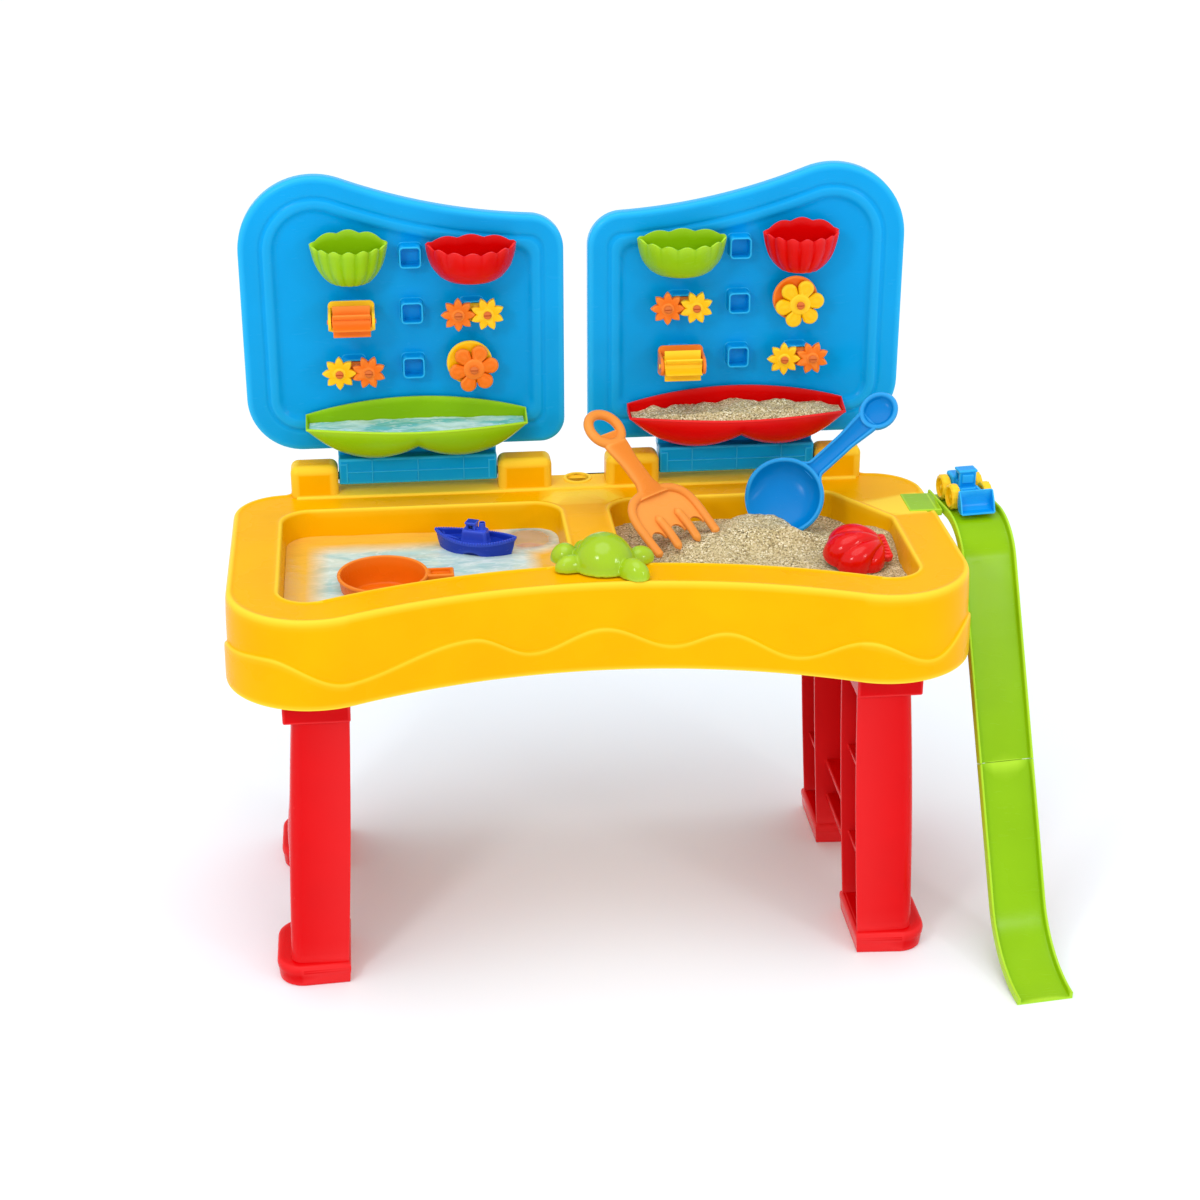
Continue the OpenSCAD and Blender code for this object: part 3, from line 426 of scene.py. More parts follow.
class Piece:
    """One visible piece, gathered from shapes in mm. A shape's place carries it to the table
    frame, and at is the place of those that name none."""

    def __init__(self, name, body, finish, *nodes, at=None):
        self.name, self.body, self.finish, self.nodes, self.at = name, body, finish, nodes, at
        self.bm = bmesh.new()

    def add(self, shape, place=None, bevel=0.0, steps=2, shell=0.0, side=-1,
            limit=30, remesh=0.0, calm=0, cut=None, up=False):
        """shell thickens a surface, cut is a shape taken out, remesh and calm melt shapes into
        one, bevel rounds edges sharper than limit, up turns the faces of a surface upwards."""
        me = mesh_of("shape", shape)
        bm = bmesh.new()
        bm.from_mesh(me)
        bmesh.ops.remove_doubles(bm, verts=bm.verts[:], dist=0.0005)
        bmesh.ops.dissolve_degenerate(bm, edges=bm.edges[:], dist=0.0005)
        bmesh.ops.recalc_face_normals(bm, faces=bm.faces[:])
        if up and sum(f.normal.z * f.calc_area() for f in bm.faces) < 0:
            bmesh.ops.reverse_faces(bm, faces=bm.faces[:])
        bm.to_mesh(me)
        bm.free()
        mods = []
        if shell:
            mods.append(("SOLIDIFY", {"thickness": shell, "offset": side}))
        if cut:
            tool = linked("tool", mesh_of("tool", cut))
            mods.append(("BOOLEAN", {"object": tool, "operation": "DIFFERENCE", "solver": "EXACT"}))
        if remesh:
            mods.append(("REMESH", {"mode": "VOXEL", "voxel_size": remesh}))
        if calm:
            mods.append(("SMOOTH", {"factor": 0.5, "iterations": calm}))
        if bevel:
            mods.append(("BEVEL", {"width": bevel, "segments": steps, "limit_method": "ANGLE",
                                   "angle_limit": rad(limit), "use_clamp_overlap": True}))
        o = linked("shape", me)
        for kind, settings in mods:
            m = o.modifiers.new(kind, kind)
            for key, value in settings.items():
                setattr(m, key, value)
        graph = bpy.context.evaluated_depsgraph_get()
        out = bpy.data.meshes.new_from_object(o.evaluated_get(graph))
        bpy.data.objects.remove(o)
        if cut:
            bpy.data.objects.remove(tool)
        place = place or self.at
        if place:
            out.transform(place)
            if place.determinant() < 0:
                out.flip_normals()
        self.bm.from_mesh(out)

    def done(self, crease=38, weighted=True):
        band = 1.1  # round each wide face, to keep the painted edge highlight at its edges
        wide = [f for f in self.bm.faces if len(f.verts) > 3 and f.calc_area() > 90
                and min(e.calc_length() for e in f.edges) > 2 * band
                and min(e.calc_face_angle(0.0) for e in f.edges) > rad(6)]
        bmesh.ops.inset_individual(self.bm, faces=wide, thickness=band, use_even_offset=True)
        for f in self.bm.faces:
            f.smooth = True
        for e in self.bm.edges:
            e.smooth = e.calc_face_angle(0.0) < rad(crease)
        me = bpy.data.meshes.new(self.name)
        self.bm.to_mesh(me)
        self.bm.free()
        me.transform(TABLE)
        me.materials.append(FINISH[self.finish])
        o = linked(self.name, me)
        if weighted:
            m = o.modifiers.new("normals", "WEIGHTED_NORMAL")
            m.keep_sharp = True
        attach(o, self.body)
        if self.nodes:
            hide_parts(*self.nodes)
        SLOTS.get(self.finish, self.finish)
        return o


# ------------------------------------------------------------------ tray

FRONT_C = -530.97  # y of the centre of the arc that the front follows
half_plan = [(270, 80, 80), (300, 262, 50), (303, 321, -9), (286, 330, 8)]
tray_circles = half_plan + [(-x, y, r) for x, y, r in reversed(half_plan)] \
    + [(0, FRONT_C, -587.97)]
P, N = densify(*belt(tray_circles, [40, 24, 5, 6, 6, 5, 24, 40, 150]), 5)

# x and height of the wave's crests and hollows along the front
wave_front = [(-309, 371), (-240, 345), (-125, 366), (-68, 345), (0, 365), (65, 346),
              (115, 360), (178, 340), (244, 363), (302, 342)]
steps = np.hypot(*(np.roll(P, -1, 0) - P).T)
along = np.concatenate([[0], np.cumsum(steps)[:-1]])
loop = steps.sum()
knots = []
for x, z in wave_front:
    near = [i for i in range(len(P)) if P[i][1] < 110 and N[i][1] < 0.3]
    i = min(near, key=lambda k: abs(P[k][0] - x) + 0.2 * P[k][1])
    knots.append((along[i], z))
last, first = knots[-1], knots[0]
gap = (first[0] - last[0]) % loop
count = 4 * round(gap / 240) - 1  # round the back, about 60 mm apart
for k in range(1, count + 1):
    knots.append(((last[0] + gap * k / (count + 1)) % loop, 366 if k % 2 else 344))
knots.sort()


def wave(s):
    for (s0, z0), (s1, z1) in zip(knots, knots[1:] + [(knots[0][0] + loop, knots[0][1])]):
        if s0 <= s <= s1:
            return z0 + (z1 - z0) * (0.5 - 0.5 * cos(pi * (s - s0) / (s1 - s0)))
    return wave(s + loop)


wave_z = np.array([wave(s) for s in along])
notch = np.array([1.0 if p[0] > 300 and 202 < p[1] < 251 else 0.0 for p in P])


def skirt_ring(grow, z, follow=0.0):
    """The tray's outline moved out by grow; follow 1 puts it z above the wave's line."""
    zs = z + (wave_z if follow else 0 * wave_z)
    if z > 405 and not follow:
        zs = zs - notch * (z - 405)
    out = P + N * grow
    return [(out[i][0], out[i][1], zs[i]) for i in range(len(P))]


# lower edge, the wave's step, then the upper wall and the rim
rings = [skirt_ring(g, z) for g, z in ((4.6, 322), (5.7, 322.7), (6, 324.5), (5.9, 328))]
rings += [skirt_ring(g, z, 1) for g, z in ((5.6, -8), (5.5, -3), (5.3, -1.2), (4.7, 0.2),
                                           (3.8, 1.0), (3.0, 1.6), (2.7, 2.8))]
rings += [skirt_ring(g, z) for g, z in (
    (2.4, 380), (2.0, 390), (1.6, 398), (1.4, 403), (1.1, 405.6), (0.3, 408), (-1.0, 409.5),
    (-2.6, 410), (-4.2, 409.8), (-5.6, 409.2), (-7, 408.9), (-9, 408.8))]
for k in (11, 12):  # between the wave and the upper wall
    a, b = rings[k - 1], rings[k]
    rings.insert(k, [tuple(Vector(p).lerp(Vector(q), 0.5)) for p, q in zip(a, b)])

DECK = 408.8
deck_outer = [(p[0], p[1]) for p in rings[-1]]
basin_left = [(-274, 72.7, 28), (0, FRONT_C, -635), (-53, 129.9, 28), (-53, 237, 28),
              (-274, 237, 28)]
basin_right = [(53, 129.9, 28), (0, FRONT_C, -635), (274, 72.7, 28), (284, 184.9, 18),
               (242.4, 247, 18), (53, 237, 28)]
FLOOR = 366
basin_profile = [(8, DECK), (6.4, DECK), (5.0, 409.1), (3.6, 409.8), (2.2, 410), (0.9, 409.6),
                 (0.0, 408.4), (-0.5, 406.4), (-1.2, 398), (-2.2, 384), (-3.4, 373), (-5, 368.6),
                 (-8, 366.4), (-12, FLOOR), (-14, FLOOR)]


def basin_ring(circles, grow, z):
    points, normals = densify(*belt(circles, [14, 70, 14, 12, 14] + [12] * (len(circles) - 5)), 7)
    return [(p[0] + n[0] * grow, p[1] + n[1] * grow, z) for p, n in zip(points, normals)]


basin_shapes, deck_holes, floors = [], [], []
PARASOL = (0, 323)  # the hole for a pole
for circles in (basin_left, basin_right):
    sides = [basin_ring(circles, g, z) for g, z in basin_profile]
    basin_shapes.append(loft(sides))
    deck_holes.append([(p[0], p[1]) for p in sides[0]])
    drain = [circle(*PLUG, 15)] if circles is basin_left else []
    floors.append(filled([(p[0], p[1]) for p in sides[-1]], drain, FLOOR))
deck = filled(deck_outer, deck_holes + [circle(*PARASOL, 13.5)], DECK)

tray = Piece("tray_moulding", ROOT, "tray_yellow", "tray", "tray_skirt", "basin_left",
             "basin_right", "leg_sockets", "hinge_blocks", "parasol_tube")
tray.add(joined(loft(rings), deck, *basin_shapes, *floors), shell=2.6, up=True)
# raised ledge under the hinge blocks, and the blocks
tray.add(box(-289, 289, 297, 335.5, 404, 411.4), bevel=2.2, steps=3,
         cut=placed(rod(12, 400, 430, 48), move(*PARASOL)))
for s in (-1, 1):
    for x0, x1 in ((28, 83), (246, 294)):
        w = x1 - x0
        tray.add(box(-w / 2, w / 2, 300, 332, 404, 442), move(s * (x0 + w / 2)), bevel=8, steps=6)
tray.add(lathe([(11, 322), (11, 411.6), (11.8, 412.8), (13.2, 413), (14.4, 412.4), (15, 411),
                (15, 322)], 48, True), move(*PARASOL))
for _, place in SIDES:  # sockets for the end frames, ribs under the deck
    for y0, y1 in ((41, 113), (257, 327)):
        tray.add(box(242, 290.5, y0, y1, 322.5, 364), place, bevel=1,
                 cut=box(245.2, 287.4, y0 + 3, y1 - 3, 300, 350))
    for x in (80, 150, 220):
        tray.add(box(x - 1, x + 1, 268, 333, 345, 407), place)
tray.done()

# ------------------------------------------------------------------ end frames

SPLAY = tan(rad(3.2))  # by which the end frames stand out towards the floor


def lean_x(z, x):
    """x of a leaning frame's point at height z: the outer face bows out, the inner one in."""
    drop = max(0.0, 322 - z)
    outer = max(0.0, min(1.0, (x - 241) / 53))
    bow = sin(pi * min(1.0, drop / 300))
    return x + drop * SPLAY * (0.78 + 0.22 * outer) + bow * (3.6 * outer - 1.6)


def leaning(plan, heights):
    """Body of outline (x, y) through heights, leaning as the end frames do."""
    return solid([[(lean_x(z, x), y, z) for x, y in plan] for z in heights])


# channel section of a post 78 mm deep, open on its inner side
POST = [(0, 0)] + arc(41, 12, 12, -90, 0, 8) + arc(41, 66, 12, 0, 90, 8) + [(0, 78), (0, 74)] \
    + arc(39, 64, 9, 90, 0, 8) + arc(39, 14, 9, 0, -90, 8) + [(0, 4)]

for side, place in SIDES:
    legs = Piece(f"end_frame_{side}", ROOT, "leg_red", f"leg_frame_{side}", at=place)
    heights = [20 + 302 * k / 24 for k in range(25)]
    for y0, d in ((38, 1), (332, -1)):
        legs.add(leaning([(241 + x, y0 + d * y) for x, y in POST], heights), bevel=1.0, limit=50)
        for z in (96, 196):  # webs inside the channel
            legs.add(box(lean_x(z, 247), lean_x(z, 290.5), y0 + d * 3 if d > 0 else y0 - 75,
                         y0 + 75 if d > 0 else y0 - 3, z - 1.5, z + 1.5), bevel=0.5)
        # raised strip down the outer face with a round boss at mid height
        strip = []
        for z in heights[1:-2]:
            x = lean_x(z, 294)
            w = 11 + 3.0 * exp(-((z - 158) / 26) ** 2)
            k = 0.6 + 1.6 * exp(-((z - 158) / 20) ** 2)
            strip.append([(x - 1.5, y0 + d * 39 - w, z), (x + k * 0.5, y0 + d * 39 - w + 1.5, z),
                          (x + k, y0 + d * 39 - w * 0.5, z), (x + k, y0 + d * 39 + w * 0.5, z),
                          (x + k * 0.5, y0 + d * 39 + w - 1.5, z), (x - 1.5, y0 + d * 39 + w, z)])
        legs.add(solid(strip))
    # panel between the posts with a raised field, and its two rails
    legs.add(leaning(((284, 114), (288, 114), (288, 256), (284, 256)), (55, 120, 190, 260, 322)),
             bevel=0.8)
    legs.add(leaning(((287, 126), (289.2, 130), (289.2, 240), (287, 244)), (72, 130, 200, 276)),
             bevel=1.5, steps=3)
    for span in ((54, 61), (98, 103)):
        legs.add(leaning(((251, 114), (292, 114), (292, 256), (251, 256)), span), bevel=1.6, steps=3)
    for y0, y1 in ((30, 122), (248, 340)):
        foot = [(252.5, y0 + 3)] + arc(299, y0 + 26, 26, -90, 0, 12) \
            + arc(299, y1 - 26, 26, 0, 90, 12) + [(252.5, y1 - 3)]
        mid = Vector((285, (y0 + y1) / 2, 0))
        legs.add(solid([[(mid.x + (x - mid.x) * k, mid.y + (y - mid.y) * k, z) for x, y in foot]
                        for k, z in ((0.93, 0), (0.955, 1.2), (0.965, 5), (0.975, 10), (0.985, 12.4),
                                     (0.998, 14.4), (1.004, 17), (1.0, 19.4), (0.985, 21.4),
                                     (0.96, 22.6), (0.925, 23), (0.86, 23.4))]))
    # collar under the tray, hollow above, and the two spigots on it
    legs.add(box(240.5, 304, 31, 337, 290, 321.6), bevel=4, steps=4,
             cut=box(245, 300, 36, 332, 300, 330))
    for y in (44, 260):
        legs.add(box(245, 290, y, y + 66, 318, 347.5), bevel=1.5,
                 cut=box(249, 286, y + 4, y + 62, 310, 360))
    legs.done()

# ------------------------------------------------------------------ lids

LID_X0, LID_X1, LID_Z0, LID_TOP = 12, 334, 450, 733
NOTCH = 688  # height of the inner end of a lid's top edge


def lid_ring(g, y):
    """Outline of the right-hand lid's face moved in by g, at depth y."""
    lobe, inner, low, low_in = (max(r - g, 14) for r in (76, 35, 55, 25))
    cx, cz = LID_X1 - g - lobe, LID_TOP - g - lobe
    dx, drop = cx - LID_X0, NOTCH - g - cz
    dip = (dx * dx + drop * drop - lobe * lobe) / (2 * (lobe - drop))
    dip_z = NOTCH - g + dip
    ix = LID_X0 + g + inner
    iz = dip_z - sqrt((dip + inner) ** 2 - (ix - LID_X0) ** 2)
    circles = [(LID_X1 - g - low, LID_Z0 + g + low, low), (cx, cz, lobe), (LID_X0, dip_z, -dip),
               (ix, iz, inner), (LID_X0 + g + low_in, LID_Z0 + g + low_in, low_in)]
    points, _ = belt(circles, [16, 26, 60, 14, 12])
    return [(x, y, z) for x, z in points]


# (inset, y) of a lid's section: back, edge, border with a groove, sunken middle
lid_profile = [(13, 338), (11.4, 338), (10.2, 338.6), (9.6, 340), (9.2, 344), (8.2, 345),
               (2.4, 345), (0.9, 344.3), (0, 342.6), (0, 334.5), (0.5, 332.4), (1.9, 330.8),
               (4.2, 330), (7, 329.9), (16, 330.2), (19, 330.5), (20.4, 331.3), (21.8, 331.5),
               (23.2, 330.9), (24.6, 330.1), (27, 329.9), (30, 330.1), (32.4, 330.9),
               (34.6, 332.6), (36.4, 333.6), (38.6, 334), (41, 334)]
# the lids' sockets: columns from the middle of the table, rows from the floor
INNER, OUTER, TOP_ROW, MID_ROW, LOW_ROW = 105, 225, 652, 595, 538


def socket_shape():
    """Square tube with rounded corners, its mouth at local z = 15 and open to the front."""
    return solid([flat(rounded(w, w, r), z) for w, z, r in (
        (25.5, 0, 5.4), (23.2, 0.8, 4.6), (22.2, 2.4, 4.2), (22, 13.6, 4.2), (21.6, 14.7, 4.1),
        (20.8, 15, 3.8), (19.4, 15, 3.3), (18.6, 14.6, 3.0), (18.1, 13.4, 2.8), (17.6, 2.6, 2.6),
        (16.4, 2.0, 2.2))])


for side, place in SIDES:
    body = f"lid_{side}"
    lid = Piece(f"lid_panel_{side}", body, "lid_blue", body, f"hinge_pins_{side}", at=place)
    lid.add(solid([lid_ring(g, y) for g, y in lid_profile]))
    for x in (INNER, 165, OUTER):
        for z in (TOP_ROW, MID_ROW, LOW_ROW):
            lid.add(socket_shape(), place @ facing(x, 334.3, z))
    # neck down to the hinge with its ribs, then the hinge pin
    hub = [(box(83.8, 245.2, 310.6, 336, 418.2, 446), 2.0),
           (box(83.8, 245.2, 325, 343, 440, 456), 1.6),
           (box(84.4, 93, 309.7, 314, 419.4, 441), 0.6),
           (box(236, 244.6, 309.7, 314, 419.4, 441), 0.6),
           (box(84.4, 244.6, 309.8, 312, 431, 432.2), 0.4)]
    hub += [(box(x - 0.6, x + 0.6, 309.7, 312, 419, 445), 0.4) for x in (118, 164.5, 211)]
    for shape, r in hub:
        lid.add(shape, bevel=r, steps=3)
    pin = lathe([(0, 74), (3.6, 74), (4, 74.6), (4, 254.4), (3.6, 255), (0, 255)], 24)
    lid.add(pin, place @ move(0, 318, 426) @ turn("Y", 90))
    for x in (60, 120, 180, 240, 290):  # stiffening ribs on the back
        lid.add(box(x - 1, x + 1, 337.5, 341.5, 466, 655), bevel=0.5)
    for z in (510, 566, 622):
        lid.add(box(26, 320, 337.5, 341.5, z - 1, z + 1), bevel=0.5)
    lid.done()

# ------------------------------------------------------------------ troughs

TROUGH_X, TROUGH_RIM, BACK = 164, 486, 329.6  # middle, rim height, depth of the flat back
R_PLAN = 201.5  # radius of the bowed front, seen from above
TROUGH_LEVEL = 480.4  # of the water and the sand, before their heaps


def trough_depth(x):
    return 60 - (R_PLAN - sqrt(max(R_PLAN ** 2 - x * x, 0)))


def trough_low(x):
    return 532 - sqrt(84 ** 2 - (abs(x) - 46) ** 2)


def trough_lip(x):
    return TROUGH_RIM - 5 * (abs(x) / 112) ** 3


def trough_shape():
    xs = [112 * sin(pi / 2 * (k / 44 - 1)) for k in range(89)]
    rows = []
    for x in xs:
        lip = trough_lip(x)
        deep, tall = trough_depth(x), max(lip - trough_low(x), 0.9)
        top = 105 + sqrt(400 ** 2 - x * x)
        row = []
        for k in range(19):
            a = pi / 2 * k / 18
            row.append((x, BACK - deep * cos(a) ** 0.72, lip - tall * sin(a) ** 0.8))
        row += [(x, BACK, lip - tall + (top - lip + tall) * k / 8) for k in range(1, 9)]
        rows.append(row)
    n = len(rows[0])
    verts, faces = loft(rows, False)
    faces += [tuple(range(n)), tuple(range(len(verts) - n, len(verts)))]
    return verts, faces


def trough_wall(x, z, inset):
    """y of the trough's inner front face at x and height z."""
    deep, tall = trough_depth(x), trough_lip(x) - trough_low(x)
    share = min(0.97, max(0.0, (trough_lip(x) - z) / max(tall, 1.0)))
    return min(BACK - 3, BACK - deep * cos(asin(share ** 1.25)) ** 0.72 + inset)


def trough_fill(level, heap, seed, amount):
    """What lies in a trough: a thin slab inside its walls. Its top rises by heap in the middle
    and has lumps of about amount, which seed picks."""
    nx, ny = 120, 22
    rows, under = [], []
    for i in range(nx):
        u = i / (nx - 1) * 2 - 1
        x = 108.5 * u
        row, low = [], []
        for j in range(ny):
            v = j / (ny - 1)
            y = trough_wall(x, level, 3.0)
            y += (BACK - 2.6 - y) * v
            rim = min(1.0, (1 - abs(u)) * 6) * min(1.0, v * 5 + 0.1)
            z = level + rim * (heap * (1 - u * u) ** 0.7 * (0.75 + 0.25 * sin(pi * v))
                               + amount * noise.noise(Vector((x / 17, y / 14, seed)))
                               + 0.35 * amount * noise.noise(Vector((x / 5, y / 5, seed))))
            row.append((x, y, z))
            low.append((x, y, level - 1.5))
        rows.append(row)
        under.append(low)

    def border(g):
        return g[0][:] + [r[-1] for r in g[1:]] + g[-1][-2::-1] + [r[0] for r in g[-2:0:-1]]
    return joined(loft(rows, False), loft(under, False), loft([border(rows), border(under)]))


spouts = joined(*[placed(rod(4, 430, 470), move(x, 309.6)) for x in (-50, 50)])
for side, x0, finish in (("left", -TROUGH_X, "toy_green"), ("right", TROUGH_X, "toy_red")):
    trough = Piece(f"trough_bowl_{side}", f"lid_{side}", finish, f"trough_{side}")
    trough.add(trough_shape(), move(x0), shell=2.3, bevel=0.7, limit=60, cut=spouts)
    lip = [(x, min(BACK - 1.6, BACK - trough_depth(x) + 1.2), trough_lip(x) + 0.2)
           for x in (110.5 * sin(pi / 2 * (k / 40 - 1)) for k in range(81))]
    trough.add(sweep(lip, round_section(1.7, 1.5, 12)), move(x0))
    trough.done()
water = Piece("trough_water_fill", "lid_left", "trough_water", "trough_water")
water.add(trough_fill(TROUGH_LEVEL, 2.0, 3.1, 1.4), move(-TROUGH_X))
water.done(crease=80, weighted=False)
sand = Piece("trough_sand_fill", "lid_right", "sand", "trough_sand")
sand.add(trough_fill(TROUGH_LEVEL, 11, 7.7, 4.5), move(TROUGH_X))
sand.done(crease=80, weighted=False)

# ------------------------------------------------------------------ funnels

MOUTH = 319  # y of the mouths of the lids' sockets


def funnel_ring(width, centre, z, amp, count, lift=None):
    """Closed ring: a fluted front arc, then a straight back. lift(a) raises points of the rim."""
    back = MOUTH - 0.6
    open_half = acos(max(-1.0, min(1.0, (centre - back) / width)))
    pts = []
    n = 96
    for k in range(n + 1):
        a = -open_half + 2 * open_half * k / n
        r = width * (1 + amp * (abs(cos(a * count / 2)) - 0.64))
        pts.append((r * sin(a), min(back, centre - r * cos(a)),
                    z + (lift(a, False) if lift else 0)))
    x0, x1 = pts[-1][0], pts[0][0]
    for k in range(1, 40):
        x = x0 + (x1 - x0) * k / 40
        pts.append((x, back, z + (lift(abs(x / x0) * 1.5707, True) if lift else 0)))
    return pts


def funnel(kind):
    """Half bowl with a scalloped rim whose back stands higher. Its local zero is its foot."""
    rows = []
    if kind == "narrow":
        height, centre, sag, crown, count = 36, MOUTH + 1.4, 0, 14, 16
        shape = [(19, 0, 0.05), (20.4, 0.8, 0.05), (23.4, 3.4, 0.045), (27.2, 7.5, 0.04),
                 (30.6, 12.5, 0.04), (33.4, 18.5, 0.045), (35.6, 25, 0.055), (37, 31, 0.065),
                 (37.8, height, 0.08)]
    else:
        height, centre, sag, crown, count = 38, MOUTH + 6.4, 3, 7, 16
        shape = [(14, 0, 0.0), (21, 0.5, 0.0), (27, 2.4, 0.0), (32.4, 6, 0.0), (37, 11.4, 0.0),
                 (40.6, 17, 0.004), (43.2, 24, 0.012), (45, 31, 0.025), (46, height, 0.04)]

    def lift(a, at_back):
        if at_back:
            return crown * cos(a) ** 0.6 + 3.0 * abs(cos(a * 3.5))
        return 3.4 * abs(cos(a * count / 2)) - sag * cos(a)
    for r, z, amp in shape:
        share = smooth_step((z / height - 0.45) / 0.55)
        rows.append(funnel_ring(r, centre, z, amp, count, lambda a, b, k=share: k * lift(a, b)))
    return loft(rows)


for name, col, kind, finish in (("left_outer", -OUTER, "narrow", "toy_green"),
                                ("left_inner", -INNER, "wide", "toy_red"),
                                ("right_inner", INNER, "wide", "toy_green"),
                                ("right_outer", OUTER, "narrow", "toy_red")):
    body = "lid_" + name.split("_")[0]
    piece = Piece(f"funnel_cup_{name}", body, finish, f"funnel_{name}")
    foot = TOP_ROW - (22 if kind == "narrow" else 25)
    piece.add(funnel(kind), move(col, 0, foot), shell=1.9, bevel=0.5, limit=60)
    piece.add(peg(10.5, 0.5, 17.2), facing(col, 329, TOP_ROW), bevel=0.6)
    piece.done(crease=50)

# ------------------------------------------------------------------ gears, flowers and paddles

GEAR_Y = 307.7  # near the front faces of the gears
TIP, ROOT_R = 17.2, 10.6  # radii of a gear's tips and hollows
HALF_PITCH = 14.5  # from the middle of a bar to its pins
PIN_R, BORE_R = 2.45, 2.6


def gear_outline(grow, phase):
    """Pointed teeth with slightly full flanks; grow moves the outline out."""
    pts = []
    for k, a in enumerate(around(64)):
        t = abs(((k % 8) / 4) - 1)  # 1 at a tip, 0 in a hollow
        r = ROOT_R + 0.5 + (TIP - ROOT_R - 0.5) * t ** 0.9 + grow
        pts.append((r * cos(a + phase), r * sin(a + phase)))
    return pts


def gear_shape(phase):
    return solid([flat(gear_outline(g, phase), z) for g, z in (
        (-1.4, 0), (-0.4, 0.4), (0, 1.2), (0, 4.2), (-0.5, 5.2), (-1.6, 5.9), (-3.4, 6.1))])


# pair, column, row, side, finishes of its first gear, its second gear and its bar
gear_rows = (("a", -OUTER, LOW_ROW, "left", "gear_yellow", "gear_orange", "gear_orange"),
             ("b", -INNER, MID_ROW, "left", "gear_orange", "gear_yellow", "gear_yellow"),
             ("c", INNER, MID_ROW, "right", "gear_orange", "gear_yellow", "gear_orange"),
             ("d", OUTER, LOW_ROW, "right", "gear_yellow", "gear_orange", "gear_orange"))
for key, col, row, side, first_finish, second_finish, bar_finish in gear_rows:
    bar = Piece(f"gear_bar_arm_{key}", f"lid_{side}", bar_finish, f"gear_bar_{key}")
    m = facing(col, 318.7, row)
    bar.add(peg(0.5, 10), m, bevel=0.6)
    dog = arc(HALF_PITCH, 0, 8.6, -70, 70, 12) + arc(-HALF_PITCH, 0, 8.6, 110, 250, 12)
    bar.add(prism(dog, 0, 4), m, bevel=0.9)
    post = [(0, 3), (4.5, 3), (4.5, 4.7), (PIN_R, 4.7), (PIN_R, 12.5), (0, 12.5)]
    for x in (-HALF_PITCH, HALF_PITCH):
        bar.add(lathe(post, 28), m @ move(x))
    bar.done()
    for k, (s, finish) in enumerate(((-1, first_finish), (1, second_finish)), 1):
        name = f"gear_{key}{k}"
        gear = Piece(f"{name}_wheel", name, finish, name)
        m = facing(col + s * HALF_PITCH, GEAR_Y + 6, row)
        gear.add(gear_shape(pi if k == 1 else pi / 8), m, cut=rod(BORE_R, -5, 12, 28))
        gear.add(lathe([(BORE_R, 5), (BORE_R, 6.6), (3.4, 7), (5.6, 7), (6.2, 6.4), (6.6, 5)],
                       32, True), m)
        gear.done(crease=50)


def petal_outline(r_out, petal, grow, phase):
    """Six round petals; grow moves the whole outline out."""
    pts = []
    for a in around(180):
        best = 9.0
        for j in range(6):
            d = a - (phase + j * pi / 3)
            c, r = r_out - petal, petal + grow
            h = c * sin(d)
            if abs(h) < r and cos(d) > 0:
                best = max(best, c * cos(d) + sqrt(r * r - h * h))
        pts.append((best * cos(a), best * sin(a)))
    return pts


for side, col, row, disc_finish, flower_finish in (
        ("left", -INNER, LOW_ROW, "gear_yellow", "gear_orange"),
        ("right", OUTER, MID_ROW, "gear_orange", "gear_yellow")):
    disc = Piece(f"flower_plate_{side}", f"lid_{side}", disc_finish, f"flower_disc_{side}")
    m = facing(col, MOUTH, row)
    disc.add(peg(1), m, bevel=0.6)
    disc.add(lathe([(0, 0.4), (21.5, 0.4), (22.8, 1), (23, 2), (22.4, 3), (21, 3.3), (19.6, 2.9),
                    (0, 2.9)], 64), m @ move(-4, 5))
    disc.add(lathe([(0, 2), (7, 2), (7, 4.4), (PIN_R, 4.4), (PIN_R, 12.4), (0, 12.4)], 32), m)
    disc.done()
    wheel = Piece(f"flower_{side}_petals", f"flower_wheel_{side}", flower_finish,
                  f"flower_wheel_{side}")
    phase = rad(90 - 20)
    rows = [flat(petal_outline(25, 8.2, g, phase), z) for g, z in
            ((-1.6, 5), (-0.5, 5.3), (0, 6.3), (0, 8), (-0.6, 9.2), (-1.8, 9.9), (-3.4, 10.1))]
    wheel.add(solid(rows), m, cut=rod(BORE_R, 0, 20, 28))
    wheel.add(lathe([(BORE_R, 9), (BORE_R, 10.6), (4.6, 11), (8.6, 11), (10.4, 10.2), (11, 9)],
                    40, True), m)
    for j in range(6):  # a low swelling along each petal
        a = phase + j * pi / 3
        spot = move(16 * cos(a), 16 * sin(a), 10.0) @ Matrix.Rotation(a, 4, "Z")
        wheel.add(placed(lathe([(0, 0.5), (2.3, 0.4), (3.2, 0)], 20),
                         spot @ Matrix.Scale(1.7, 4, (1, 0, 0))), m)
    wheel.done(crease=50)

